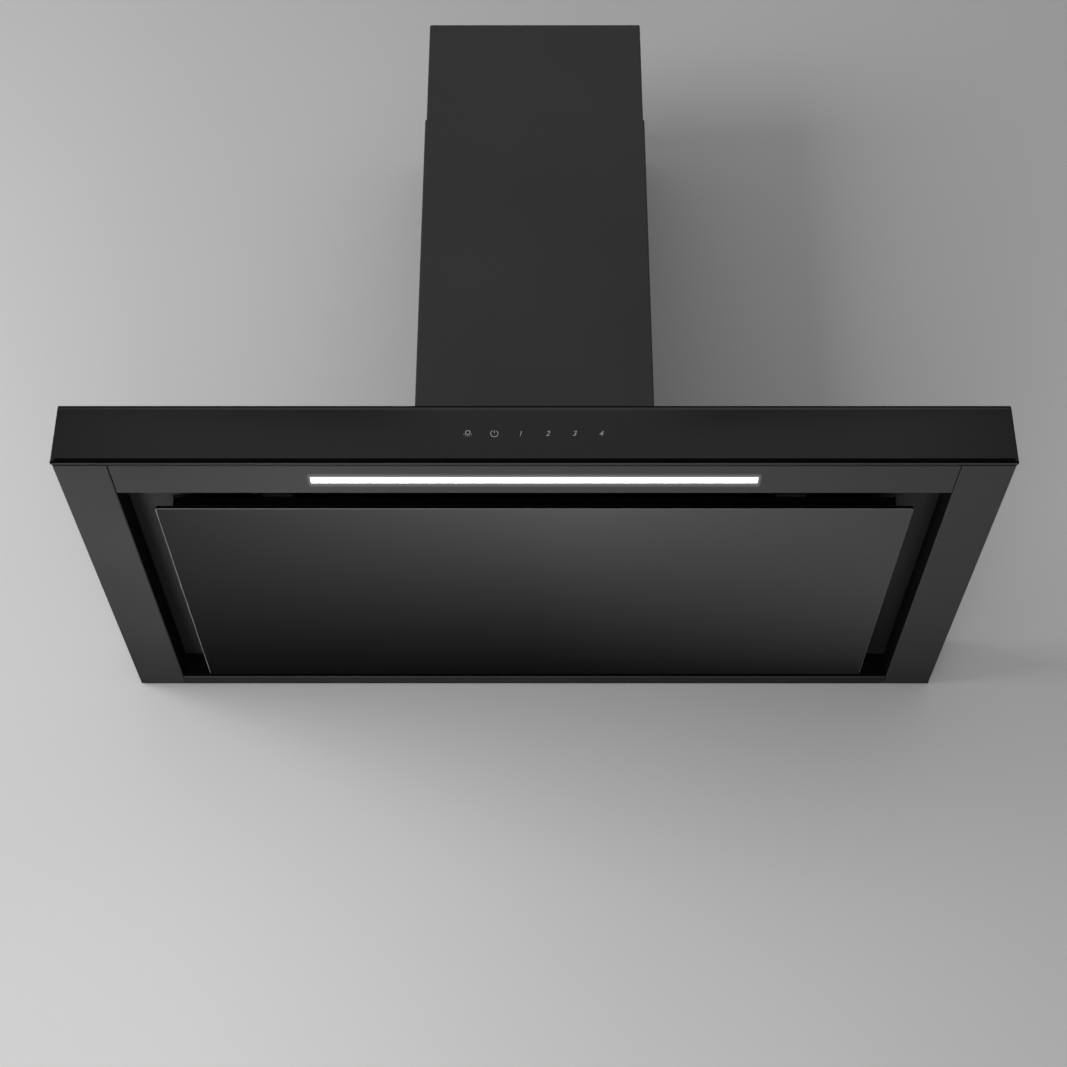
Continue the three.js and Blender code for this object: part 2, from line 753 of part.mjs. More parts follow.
/** Steel pan behind the glass: a floor, four rims and pressed ribs, open round the hinges. */
function panelPan() {
  const half = panelWidth / 2 - panSideInset;
  const front = glassFront + panInset;
  const rear = glassRear - panInset;
  const block = box(-half, half, front, rear, panFloor, panRimTop);
  const hollow = box(-half + panSheet, half - panSheet, front + panSheet, rear - panSheet,
    panFloor + panSheet, panRimTop + 1);
  const ribFront = front + panRibMargin;
  const ribRear = -hingeLeafLength - panRibMargin;
  const ribs = Array.from({ length: panRibCount }, (_, i) => {
    const x = (i - (panRibCount - 1) / 2) * (2 * half / panRibCount);
    const foot = panRibWidth / 2;
    const crown = foot - panRibHeight;
    return prismY([
      [x - foot, panFloor + panSheet / 2], [x + foot, panFloor + panSheet / 2],
      [x + crown, panFloor + panSheet + panRibHeight], [x - crown, panFloor + panSheet + panRibHeight],
    ], ribFront, ribRear);
  });
  const mouths = [-1, 1].map((side) => {
    const middle = side * hingeSpread;
    const reach = earOuter + 4;
    return box(middle - reach, middle + reach, -hingeArm, rear + 1, panFloor + panSheet, panRimTop + 1);
  });
  return cut(join(cut(block, hollow), ...ribs), ...mouths);
}

/** Moving leaf: a base on the pan's floor and an ear on each side of the fixed knuckle. */
function hingeLeaf() {
  const floor = panFloor + panSheet;
  const baseFront = -hingeLeafLength - hingeKnuckleRadius * 2;
  const base = box(-hingeBaseWidth / 2, hingeBaseWidth / 2, baseFront, -hingeKnuckleRadius * 2,
    floor, floor + hingeLeafSheet);
  const ear = new THREE.Shape();
  ear.moveTo(baseFront, floor);
  ear.lineTo(-hingeKnuckleRadius, floor);
  ear.absarc(0, 0, hingeKnuckleRadius, -0.75 * Math.PI, 0.5 * Math.PI, false);
  ear.lineTo(-2 * hingeKnuckleRadius, hingeKnuckleRadius);
  ear.lineTo(baseFront, floor + hingeLeafSheet);
  const inner = earOuter - hingeEar;
  const ears = [prismX(ear, inner, earOuter), prismX(ear, -earOuter, -inner)];
  const bore = revolveX(ringProfile(0, hingePinRadius + slideGap, -earOuter - 1, earOuter + 1), 20);
  return cut(join(base, ...ears), bore);
}

function hingePin() {
  const end = earOuter + 2;
  return revolveX([
    [0, -end], [hingePinRadius, -end], [hingePinRadius, earOuter + slideGap],
    [hingePinHead, earOuter + slideGap], [hingePinHead, end + 1], [0, end + 1],
  ], 20);
}

/** Fixed bracket: a base under the tray, an arm and the knuckle round the pin. */
function hingeBracket() {
  const ceiling = trayBottom - hingeHeight;
  const half = hingeKnuckleWidth / 2;
  const base = box(-hingeBaseWidth / 2, hingeBaseWidth / 2, -hingeLeafLength, hingeArm / 2,
    ceiling - hingeLeafSheet, ceiling);
  const arm = box(-half, half, -hingeArm / 2, hingeArm / 2, 0, ceiling - hingeLeafSheet / 2);
  const knuckle = revolveX(ringProfile(0, hingeKnuckleRadius, -half, half), 24);
  const web = prismX([
    [-hingeLeafLength * 0.7, ceiling - hingeLeafSheet / 2], [-hingeArm / 4, hingeKnuckleRadius],
    [-hingeArm / 4, ceiling - hingeLeafSheet / 2],
  ], -2, 2);
  const bore = revolveX(ringProfile(0, hingeBoreRadius, -half - 1, half + 1), 20);
  return cut(join(base, arm, knuckle, web), bore);
}

const catchY = panelFront + catchFromFrontEdge + catchDepth / 2;

/** Magnetic catch under the tray's front margin. */
function magneticCatch() {
  const bottom = panTop + slideGap + strikerSheet;
  const body = prismX([
    [-catchDepth / 2, bottom + 2], [-catchDepth / 2 + 2, bottom], [catchDepth / 2 - 2, bottom],
    [catchDepth / 2, bottom + 2], [catchDepth / 2, trayBottom], [-catchDepth / 2, trayBottom],
  ], -catchWidth / 2, catchWidth / 2);
  const ears = box(-catchWidth / 2 - 9, catchWidth / 2 + 9, -catchDepth / 2, catchDepth / 2,
    trayBottom - 2, trayBottom);
  return join(body, ears);
}

/** Striker: a folded steel bridge that stands in the pan and meets the magnet. */
function striker() {
  const floor = panelGlass + panSheet;
  const top = panTop + strikerSheet;
  const half = catchDepth / 2 - 1;
  return prismX([
    [-half, floor], [-half + strikerSheet, floor], [-half + strikerSheet, top - strikerSheet],
    [half - strikerSheet, top - strikerSheet], [half - strikerSheet, floor], [half, floor],
    [half, top], [-half, top],
  ], -catchWidth / 2 + 2, catchWidth / 2 - 2);
}

place(panel, 'panel_glass', panelGlassPlate(), blackGlass);
place(panel, 'panel_pan', panelPan(), blackSteel);
placePair(panel, 'hinge_leaf', hingeLeaf(), zincSteel, hingeSpread);
placePair(panel, 'hinge_pin', hingePin(), turnedSteel, hingeSpread);
placePair(canopy, 'hinge_bracket', hingeBracket(), zincSteel, hingeSpread, hingeY, hingeHeight);
placePair(canopy, 'magnetic_catch', magneticCatch(), blackPlastic, catchSpread, catchY, 0);
placePair(canopy, 'striker', striker(), zincSteel, catchSpread, catchY, 0);

// ---------------------------------------------------------------- air box on the canopy

/** Galvanised box: rear and side walls, top with the outlet's hole, and foot flanges. */
function airBox() {
  const half = airBoxWidth / 2;
  const front = -airBoxFront + sheet + seatGap;
  const rear = -airBoxRear;
  const base = canopyHeight;
  const walls = prismZ([
    [-half, front], [-half + sheet, front], [-half + sheet, rear - sheet], [half - sheet, rear - sheet],
    [half - sheet, front], [half, front], [half, rear], [-half, rear],
  ], base, airBoxTop);
  const top = box(-half, half, front, rear, airBoxTop - sheet, airBoxTop);
  const feet = [-1, 1].map((side) => {
    const edge = side * half;
    const outer = side * (half + airBoxFlange);
    return box(Math.min(edge, outer) - (side < 0 ? 0 : sheet), Math.max(edge, outer)
      + (side < 0 ? sheet : 0), front, rear, base, base + sheet);
  });
  const outlet = revolveZ(ringProfile(0, collarRadius - collarWall, airBoxTop - 4, airBoxTop + 4), 40);
  outlet.translate(0, -collarFromWall, 0);
  const gland = revolveZ(ringProfile(0, glandRadius - 2, airBoxTop - 4, airBoxTop + 4), 20);
  gland.translate(glandX, glandY, 0);
  return cut(join(walls, top, ...feet), outlet, gland);
}

const glandX = airBoxWidth / 2 - 22;
const glandY = -airBoxRear - 24;

/** Service cover that closes the front of the air box, with folded edges and a foot. */
function airBoxCover() {
  const half = airBoxWidth / 2;
  const face = -airBoxFront;
  const base = canopyHeight;
  const wall = box(-half, half, face, face + sheet, base, airBoxTop);
  const foot = box(-half, half, face - airBoxFlange, face + sheet, base, base + sheet);
  return join(wall, foot);
}

/** Plate that the hood hangs by: two slots over the wall screws, and a foot on the top plate. */
function hangingPlate() {
  const half = hangingPlateWidth / 2;
  const top = canopyHeight + hangingPlateHeight;
  const fold = prismX([
    [-airBoxRear + seatGap, canopyHeight], [0, canopyHeight], [0, top], [-sheet, top],
    [-sheet, canopyHeight + sheet], [-airBoxRear + seatGap, canopyHeight + sheet],
  ], -half, half);
  const slots = [-1, 1].map((side) => {
    const slot = prismY(roundedRectangle(-2 * hangingSlotRadius, 2 * hangingSlotRadius,
      -hangingSlotRadius, hangingSlotRadius, hangingSlotRadius - 0.1), -sheet - 1, 1);
    slot.translate(side * hangingSlotSpread, 0, top - 3 * hangingSlotRadius);
    return slot;
  });
  return cut(fold, ...slots);
}

/** Cable gland through the air box's top. */
function cableGland() {
  const seat = airBoxTop;
  const body = revolveZ([
    [glandBore, seat - 8], [glandRadius - 2 - seatGap, seat - 8], [glandRadius - 2 - seatGap, seat],
    [glandRadius + 3, seat], [glandRadius + 3, seat + 3], [glandRadius, seat + 3],
    [glandRadius, seat + glandHeight - 6], [glandRadius - 3, seat + glandHeight],
    [glandBore, seat + glandHeight], [glandBore, seat - 8],
  ], 6 * 3);
  body.translate(glandX, glandY, 0);
  return body;
}

/** Motor run capacitor, clipped upright to the air box's right wall. */
function runCapacitor() {
  const wallFace = airBoxWidth / 2 - sheet;
  const can = revolveZ([
    [0, 0], [capacitorRadius, 0], [capacitorRadius, capacitorLength],
    [capacitorRadius - 2, capacitorLength + 2], [4, capacitorLength + 2], [4, capacitorLength + 6],
    [0, capacitorLength + 6],
  ], 24);
  const middle = wallFace - capacitorRadius - 1;
  can.translate(middle, 0, 0);
  const saddle = box(middle, wallFace, -6, 6, capacitorLength / 2 - 8, capacitorLength / 2 + 8);
  const solid = join(can, saddle);
  solid.translate(0, -airBoxRear - capacitorFromRear, blowerAxisHeight - capacitorBelowAxis);
  return solid;
}

place(hood, 'air_box', airBox(), zincSteel);
place(hood, 'air_box_cover', airBoxCover(), zincSteel);
place(hood, 'hanging_plate', hangingPlate(), zincSteel);
place(hood, 'cable_gland', cableGland(), greyPlastic);
place(hood, 'run_capacitor', runCapacitor(), whitePlastic);

// ---------------------------------------------------------------- blower

const blower = new THREE.Group();
blower.position.set(0, -blowerAxisFromWall, blowerAxisHeight);
hood.add(blower);

/** Outline of the spiral casing, grown by a wall's thickness where one is given. */
function scrollOutline(wall) {
  const start = impellerRadius + scrollClearance + wall;
  const outer = -(start + scrollGrowth);
  const shape = new THREE.Shape();
  const steps = 30;
  const first = THREE.MathUtils.degToRad(6);
  const last = 1.5 * Math.PI;
  for (let i = 0; i <= steps; i += 1) {
    const angle = first + ((last - first) * i) / steps;
    const radius = start + (scrollGrowth * angle) / last;
    const point = [-radius * Math.sin(angle), radius * Math.cos(angle)];
    if (i === 0) shape.moveTo(-point[0], point[1]);
    else shape.lineTo(-point[0], point[1]);
  }
  const inner = -scrollTongueOffset + wall;
  shape.lineTo(outer, scrollOutletHeight);
  shape.lineTo(inner, scrollOutletHeight);
  shape.lineTo(inner, scrollTongueHeight);
  return reversed(shape);
}

/** The same outline with its points in the opposite order. */
function reversed(shape) {
  return new THREE.Shape(shape.getPoints().reverse());
}

/** Right half of the casing: side wall with its inlet lip, spiral wall and half of the outlet. */
function scrollHalfShell() {
  const body = prismX(scrollOutline(scrollWall), 0, scrollHalf);
  const hollow = prismX(scrollOutline(0), -1, scrollHalf - scrollWall);
  const outletMouth = box(-1, scrollHalf - scrollWall,
    -(impellerRadius + scrollClearance + scrollGrowth), -scrollTongueOffset,
    scrollOutletHeight - 4, scrollOutletHeight + 1);
  const inlet = revolveX(ringProfile(0, inletRadius, scrollHalf - 2 * scrollWall, scrollHalf + 1), 30);
  const lip = revolveX([
    [inletRadius, scrollHalf - scrollWall], [inletRadius + inletLipWidth, scrollHalf - scrollWall],
    [inletRadius + inletLipWidth, scrollHalf + inletLipHeight - 1],
    [inletRadius + inletLipWidth - 1, scrollHalf + inletLipHeight],
    [inletRadius + 2, scrollHalf + inletLipHeight], [inletRadius, scrollHalf + inletLipHeight - 2],
    [inletRadius, scrollHalf - scrollWall],
  ], 30);
  return join(cut(body, hollow, outletMouth, inlet), lip);
}

/** Ring of points on a rectangle, starting in the middle of its +Y side. */
function rectangleRing(count, halfX, halfY) {
  return Array.from({ length: count }, (_, i) => {
    const angle = (2 * Math.PI * i) / count;
    const [x, y] = [Math.sin(angle), Math.cos(angle)];
    const reach = Math.min(halfX / Math.max(Math.abs(x), 1e-6), halfY / Math.max(Math.abs(y), 1e-6));
    return [x * reach, y * reach];
  });
}

function circleRing(count, radius) {
  return Array.from({ length: count }, (_, i) => {
    const angle = (2 * Math.PI * i) / count;
    return [radius * Math.sin(angle), radius * Math.cos(angle)];
  });
}

/** Solid between rings of points at rising heights, closed at both ends. */
function loft(rings) {
  const count = rings[0].points.length;
  const positions = [];
  for (const ring of rings) {
    for (const [x, y] of ring.points) positions.push(x, y + ring.y, ring.z);
  }
  const last = rings.length - 1;
  positions.push(0, rings[0].y, rings[0].z, 0, rings[last].y, rings[last].z);
  const [bottomCentre, topCentre] = [count * rings.length, count * rings.length + 1];
  const index = [];
  for (let i = 0; i < count; i += 1) {
    const next = (i + 1) % count;
    for (let level = 0; level < last; level += 1) {
      const [a, b] = [level * count + i, level * count + next];
      index.push(a, a + count, b, b, a + count, b + count);
    }
    index.push(bottomCentre, i, next, topCentre, last * count + next, last * count + i);
  }
  const geometry = new THREE.BufferGeometry();
  geometry.setAttribute('position', new THREE.Float32BufferAttribute(positions, 3));
  geometry.setIndex(index);
  return geometry;
}

/** Duct between the casing's rectangular outlet and the round hole in the air box's top. */
function outletAdapter() {
  const outletFront = -(impellerRadius + scrollClearance + scrollGrowth);
  const middle = (outletFront - scrollTongueOffset) / 2;
  const halfDepth = (-scrollTongueOffset - outletFront) / 2;
  const halfWidth = scrollHalf - scrollWall;
  const bottom = scrollOutletHeight + seatGap;
  const top = airBoxTop - blowerAxisHeight - sheet - seatGap;
  const roundMiddle = blowerAxisFromWall - collarFromWall;
  const corners = 40;
  const skin = (wall, over) => loft([
    { points: rectangleRing(corners, halfWidth + wall, halfDepth + wall), y: middle, z: bottom - over },
    { points: rectangleRing(corners, halfWidth + wall, halfDepth + wall), y: middle, z: bottom + 3 },
    { points: circleRing(corners, collarRadius - collarWall - 1 + wall), y: roundMiddle, z: top - 3 },
    { points: circleRing(corners, collarRadius - collarWall - 1 + wall), y: roundMiddle, z: top + over },
  ]);
  return cut(skin(collarWall, 0), skin(0, 1));
}

/** Centre disc of the double-inlet drum wheel, with its hub. */
function impellerDiscWithHub() {
  const disc = revolveX([
    [0, -hubLength / 2], [hubRadius, -hubLength / 2], [hubRadius + 2, -impellerDisc / 2],
    [impellerRadius - 0.5, -impellerDisc / 2], [impellerRadius - 0.5, impellerDisc / 2],
    [hubRadius + 2, impellerDisc / 2], [hubRadius, impellerDisc], [0, impellerDisc],
  ], bladeCount);
  const bore = revolveX(ringProfile(0, shaftRadius + shaftBoreGap, -hubLength, hubLength), 20);
  return cut(disc, bore);
}

/** Right half of the drum: forward-curved blades held by the end ring, seated on the disc. */
function impellerBlades() {
  const innerRadius = impellerRadius - bladeLength;
  const end = impellerWidth / 2;
  const blade = bladeOutline(innerRadius);
  const blades = Array.from({ length: bladeCount }, (_, i) => {
    const solid = prismX(blade, impellerDisc / 2 + seatGap, end - impellerRing / 2);
    solid.rotateX((2 * Math.PI * i) / bladeCount);
    return solid;
  });
  const ring = revolveX(ringProfile(innerRadius, impellerRadius + 0.5, end - impellerRing, end),
    bladeCount);
  return join(ring, ...blades);
}

/** Section of one blade: an arc of constant thickness, leaning forward at its outer edge. */
function bladeOutline(innerRadius) {
  const lean = THREE.MathUtils.degToRad(bladeLean);
  const steps = 3;
  const side = (offset) => Array.from({ length: steps + 1 }, (_, i) => {
    const along = i / steps;
    const radius = innerRadius + along * bladeLength;
    const sweep = -along * lean * radius + bladeBow * Math.sin(Math.PI * along) + offset;
    return [radius * Math.cos(sweep / radius), radius * Math.sin(sweep / radius)];
  });
  return [...side(-bladeThickness / 2), ...side(bladeThickness / 2).reverse()];
}

const motorEnd = scrollHalf + inletLipHeight + seatGap;

/** Motor can: a drawn cup, closed by the spider side and open to the end bell. */
function motorCan() {
  const start = motorFromDisc + motorWall;
  return revolveX([
    [0, motorEnd - motorWall], [bearingRadius, motorEnd - motorWall],
    [motorRadius - motorWall, motorEnd - motorWall], [motorRadius - motorWall, start],
    [motorRadius, start], [motorRadius, motorEnd - 2], [motorRadius - 2, motorEnd], [0, motorEnd],
  ]);
}

/** End bell with the shaft's bearing boss. */
function motorEndBell() {
  const start = motorFromDisc;
  return revolveX([
    [shaftRadius + shaftBoreGap, start - 2], [bearingRadius, start - 2], [bearingRadius, start],
    [motorRadius, start], [motorRadius, start + motorWall], [bearingRadius, start + motorWall],
    [bearingRadius, start + bearingLength], [shaftRadius + shaftBoreGap, start + bearingLength],
    [shaftRadius + shaftBoreGap, start - 2],
  ]);
}

function statorStart() {
  return (motorFromDisc + motorEnd - statorLength) / 2 + 2;
}

function motorStator() {
  const start = statorStart();
  const end = start + statorLength;
  const bore = rotorRadius + rotorAirGap;
  return revolveX([
    [bore, start + 6], [bore + 3, start], [statorRadius - 5, start], [statorRadius - 3, start + 6],
    [statorRadius, start + 6], [statorRadius, end - 6], [statorRadius - 3, end - 6],
    [statorRadius - 5, end], [bore + 3, end], [bore, end - 6], [bore, start + 6],
  ]);
}

function motorRotor() {
  const start = statorStart() + 6;
  const end = start + statorLength - 12;
  return revolveX(ringProfile(shaftRadius + shaftBoreGap, rotorRadius, start, end), 24);
}

function motorShaft() {
  const start = -hubLength / 2 - 5;
  const end = motorEnd - motorWall - 1;
  return revolveX([
    [0, start], [shaftRadius - 1, start], [shaftRadius, start + 1], [shaftRadius, end - 1],
    [shaftRadius - 1, end], [0, end],
  ], 20);
}

/** Spider: a ring behind the motor with arms over the inlet's lip, and feet on the casing. */
function motorSpider() {
  const near = motorEnd;
  const far = motorEnd + spiderThickness;
  const reach = inletRadius + inletLipWidth + 14;
  const ring = revolveX(ringProfile(bearingRadius + 4, motorRadius - 3, near, far), 30);
  const arms = Array.from({ length: spiderArms }, (_, i) => {
    const arm = box(near, far, -spiderArm / 2, spiderArm / 2, motorRadius - 8, reach);
    const foot = box(scrollHalf, far, -spiderArm / 2, spiderArm / 2, reach - 9, reach);
    const limb = join(arm, foot);
    limb.rotateX((2 * Math.PI * i) / spiderArms + Math.PI / 2);
    return limb;
  });
  return join(ring, ...arms);
}

placePair(blower, 'scroll_half', scrollHalfShell(), blackPlastic);
place(blower, 'outlet_adapter', outletAdapter(), blackPlastic);
place(blower, 'impeller_disc', impellerDiscWithHub(), greyPlastic);
placePair(blower, 'impeller_blades', impellerBlades(), greyPlastic);
place(blower, 'motor_shaft', motorShaft(), turnedSteel);
place(blower, 'motor_rotor', motorRotor(), zincSteel);
place(blower, 'motor_stator', motorStator(), windings);
place(blower, 'motor_can', motorCan(), zincSteel);
place(blower, 'motor_end_bell', motorEndBell(), zincSteel);
place(blower, 'motor_spider', motorSpider(), zincSteel);

// ---------------------------------------------------------------- outlet collar and back-draught flaps

const outlet = new THREE.Group();
outlet.position.set(0, -collarFromWall, airBoxTop);
hood.add(outlet);

/** Collar for a round duct: foot flange, spigot, stop ring for the flaps and holes for the pin. */
function outletCollar() {
  const inner = collarRadius - collarWall;
  const stop = dampingPinHeight - flapThickness / 2 - slideGap;
  const body = revolveZ([
    [inner, 0], [collarRadius + collarFlange, 0], [collarRadius + collarFlange, collarWall],
    [collarRadius, collarWall], [collarRadius, collarHeight], [inner, collarHeight],
    [inner, stop], [inner - flapLip, stop], [inner - flapLip, stop - 2], [inner, stop - 2], [inner, 0],
  ], 36);
  const pinHole = revolveY(ringProfile(0, damperPinRadius + slideGap, -collarRadius - 2,
    collarRadius + 2), 16);
  pinHole.translate(0, 0, dampingPinHeight);
  return cut(body, pinHole);
}

/** Half-moon flap on its knuckles: the shape for the left side, swung up about the pin. */
function damperFlap() {
  const reach = damperKnuckleRadius + 2 * slideGap;
  const disc = revolveZ(ringProfile(0, flapRadius, -flapThickness / 2, flapThickness / 2), 40);
  const half = common(disc, box(-flapRadius - 1, -reach, -flapRadius, flapRadius, -2, 2));
  const pitch = damperKnuckleLength + 2 * slideGap;
  const start = -(damperKnuckles * pitch) / 2;
  const hinges = [];
  for (let i = 0; i < damperKnuckles; i += 2) {
    const from = start + i * pitch + slideGap;
    const to = from + damperKnuckleLength;
    hinges.push(revolveY(ringProfile(0, damperKnuckleRadius, from, to), 16));
    hinges.push(box(-reach - 1, 0, from, to, -flapThickness / 2, flapThickness / 2));
  }
  const bore = revolveY(ringProfile(0, damperPinRadius + slideGap, -flapRadius, flapRadius), 16);
  return cut(join(half, ...hinges), bore);
}

function damperPin() {
  const end = collarRadius + 1.5;
  return revolveY(ringProfile(0, damperPinRadius, -end, end), 16);
}

const leftFlap = damperFlap();
const rightFlap = leftFlap.clone().rotateZ(Math.PI);
place(outlet, 'outlet_collar', outletCollar(), blackPlastic);
place(outlet, 'damper_flap_left', leftFlap, greyPlastic, [0, 0, dampingPinHeight]);
place(outlet, 'damper_flap_right', rightFlap, greyPlastic, [0, 0, dampingPinHeight]);
place(outlet, 'damper_pin', damperPin(), turnedSteel, [0, 0, dampingPinHeight]);

// ---------------------------------------------------------------- duct covers

/** Outline of a cover folded from one sheet: front, two sides and two returns along the wall. */
function coverOutline(half, front, rear) {
  const outer = roundedRectangle(-half, half, front, rear, bendRadius);
  const inner = roundedRectangle(-half + sheet, half - sheet, front + sheet, rear - sheet,
    bendRadius - sheet);
  return { outer, inner };
}

function ductCover(half, front, rear, length) {
  const { outer, inner } = coverOutline(half, front, rear);
  const gap = half - coverReturn;
  return cut(prismZ(outer, 0, length), prismZ(inner, -1, length + 1),
    box(-gap, gap, rear - 2 * sheet, rear + 1, -1, length + 1));
}

/** Upper cover, with rows of air slots near the top of both sides. */
function upperDuctCover() {
  const middle = (upperFront + upperRear) / 2;
  const slots = Array.from({ length: ventRows }, (_, i) => {
    const z = upperCoverLength - ventFromTop - i * ventPitch;
    return box(-upperHalf - 1, upperHalf + 1, middle - ventLength / 2, middle + ventLength / 2,
      z - ventHeight, z);
  });
  return cut(ductCover(upperHalf, upperFront, upperRear, upperCoverLength), ...slots);
}

/** Wall bracket inside the upper cover's top: a hat-shaped strip with an ear on each side. */
function upperWallBracket() {
  const ear = upperHalf - sheet - seatGap;
  const wallHalf = upperHalf - coverReturn - 3;
  const step = upperRear - sheet - seatGap;
  const strip = [
    [-wallHalf, 0], [-wallHalf, step], [-ear + sheet, step], [-ear, step - sheet],
    [-ear, step - bracketEarLength],
    [-ear + sheet, step - bracketEarLength], [-ear + sheet, step - 1.5 * sheet],
    [-ear + 1.5 * sheet, step - sheet], [-wallHalf + sheet, step - sheet], [-wallHalf + sheet, -sheet],
  ];
  const mirror = strip.map(([x, y]) => [-x, y]).reverse();
  return prismZ([...strip, ...mirror], 0, bracketHeight);
}

place(hood, 'lower_duct_cover', ductCover(coverWidth / 2, -coverDepth, 0, lowerCoverLength),
  blackSteel, [0, 0, canopyHeight]);

const upperCover = new THREE.Group();
upperCover.position.z = upperTop - upperCoverLength;
hood.add(upperCover);
place(upperCover, 'upper_duct_cover', upperDuctCover(), blackSteel);
place(upperCover, 'upper_wall_bracket', upperWallBracket(), zincSteel,
  [0, 0, upperCoverLength - bracketHeight - bracketBelowTop]);

export default hood;
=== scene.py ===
"""Wall-mounted chimney hood with a perimeter panel: its looks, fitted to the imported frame.

The hood's sizes and places are in mm, most of them worked out from the boxes of the frame's nodes,
and they become Blender's metres where they are multiplied by MM.
"""
import json
import math
from collections import namedtuple
from contextlib import contextmanager

import bmesh
import bpy
from mathutils import Matrix, Vector


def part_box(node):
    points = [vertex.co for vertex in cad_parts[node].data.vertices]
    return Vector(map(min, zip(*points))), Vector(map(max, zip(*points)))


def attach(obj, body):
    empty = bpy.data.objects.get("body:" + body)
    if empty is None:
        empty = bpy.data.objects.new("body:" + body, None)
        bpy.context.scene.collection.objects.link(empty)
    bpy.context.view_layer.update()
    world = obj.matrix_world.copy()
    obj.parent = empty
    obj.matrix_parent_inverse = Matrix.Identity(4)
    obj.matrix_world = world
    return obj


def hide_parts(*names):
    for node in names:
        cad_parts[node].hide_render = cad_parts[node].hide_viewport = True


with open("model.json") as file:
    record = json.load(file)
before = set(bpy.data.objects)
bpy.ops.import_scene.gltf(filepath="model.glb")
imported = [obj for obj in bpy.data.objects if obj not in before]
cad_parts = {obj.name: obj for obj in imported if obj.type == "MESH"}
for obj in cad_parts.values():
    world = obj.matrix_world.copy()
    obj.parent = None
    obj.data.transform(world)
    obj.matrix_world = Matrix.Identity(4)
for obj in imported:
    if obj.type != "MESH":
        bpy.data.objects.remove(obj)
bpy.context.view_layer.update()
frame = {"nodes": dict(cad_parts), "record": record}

MM = 0.001
SHEET = 1.2                              # folded steel, in mm
NEAR = 0.1                               # two places closer than this, in mm, count as one
EDGE = 1                                 # faces this close to a piece's edge, in mm, belong to it
PAST = 2                                 # a cutter reaches this far past what it cuts, in mm
UP, DOWN, FRONT = (0, 0, 1), (0, 0, -1), (0, -1, 0)
Spot = namedtuple("Spot", "x y z")

record = frame["record"]
body_of = {node: body for body, members in record["behaviour"]["bodies"].items()
           for node in members}
slot_of = {part["node"]: part["material_slot"] for part in record["subparts"]}
dressed = set()

# ---------------------------- camera

# Fitted to the straight edges of the photo, in metres and degrees.
camera_place = (0.00237, -2.0356, -0.9812)
camera_tilt, camera_swing, camera_roll = 119.408, 0.1095, 0.06

bpy.ops.object.camera_add()
camera = bpy.context.active_object
camera.data.lens = 66.23
camera.data.sensor_width = 36
camera.data.clip_end = 30
camera.matrix_world = (
    Matrix.Translation(camera_place)
    @ Matrix.Rotation(math.radians(camera_swing), 4, "Z")
    @ Matrix.Rotation(math.radians(camera_tilt), 4, "X")
    @ Matrix.Rotation(math.radians(camera_roll), 4, "Z")
)
bpy.context.scene.camera = camera

# ---------------------------- hand tools


def corners(node):
    """The lowest and highest corners of a CAD node, in mm."""
    return [Spot(*[round(value / MM, 3) for value in corner]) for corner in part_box(node)]


def middle_of(node):
    """The middle of a CAD node's box, in mm."""
    return Spot(*[(low + high) / 2 for low, high in zip(*corners(node))])


def only(*pieces):
    """Selects these pieces alone and makes the first one active."""
    bpy.ops.object.select_all(action="DESELECT")
    for piece in pieces:
        piece.select_set(True)
    bpy.context.view_layer.objects.active = pieces[0]


@contextmanager
def editing(piece, mode="FACE"):
    """Edit mode on one piece, with nothing selected at first."""
    only(piece)
    bpy.ops.object.mode_set(mode="EDIT")
    bpy.ops.mesh.select_mode(type=mode)
    bpy.ops.mesh.select_all(action="DESELECT")
    yield
    bpy.ops.object.mode_set(mode="OBJECT")


def pick_faces(piece, test):
    """In edit mode, selects the faces whose middle in mm and normal pass the test."""
    bpy.ops.mesh.select_all(action="DESELECT")
    mesh = bmesh.from_edit_mesh(piece.data)
    for face in mesh.faces:
        if test(face.calc_center_median() / MM, face.normal):
            face.select_set(True)
    bmesh.update_edit_mesh(piece.data)


def pick_edges(piece, test):
    """In edit mode, selects the edges whose middle in mm and direction pass the test."""
    bpy.ops.mesh.select_all(action="DESELECT")
    mesh = bmesh.from_edit_mesh(piece.data)
    for edge in mesh.edges:
        start, end = (corner.co for corner in edge.verts)
        if test((start + end) / 2 / MM, (end - start).normalized()):
            edge.select_set(True)
    bmesh.update_edit_mesh(piece.data)


def split(place, away, **settings):
    """In edit mode, splits the mesh along the plane through a place in mm that faces away."""
    bpy.ops.mesh.select_all(action="SELECT")
    bpy.ops.mesh.bisect(plane_co=Vector(place) * MM, plane_no=away, **settings)


def shaped(piece, kind, **settings):
    """Applies a modifier of this kind."""
    modifier = piece.modifiers.new(kind.title(), kind)
    for name, value in settings.items():
        setattr(modifier, name, value)
    only(piece)
    bpy.ops.object.modifier_apply(modifier=modifier.name)
    return piece


def smooth(piece, angle=40):
    """Smooth over small turns, with the large flat faces kept flat."""
    only(piece)
    bpy.ops.object.shade_smooth_by_angle(angle=math.radians(angle))
    return shaped(piece, "WEIGHTED_NORMAL", keep_sharp=True)


def eased(piece, width=0.25, angle=60, segments=1):
    """Takes the sharpness off every edge over the angle, by a width in mm, as deburring does."""
    shaped(piece, "BEVEL", width=width * MM, segments=segments, limit_method="ANGLE",
           angle_limit=math.radians(angle))
    return smooth(piece)


def placed(name, matrix):
    """The primitive just added, put in its place, which goes into its mesh."""
    piece = bpy.context.active_object
    piece.name = piece.data.name = name
    piece.matrix_world = matrix
    only(piece)
    bpy.ops.object.transform_apply()
    return piece


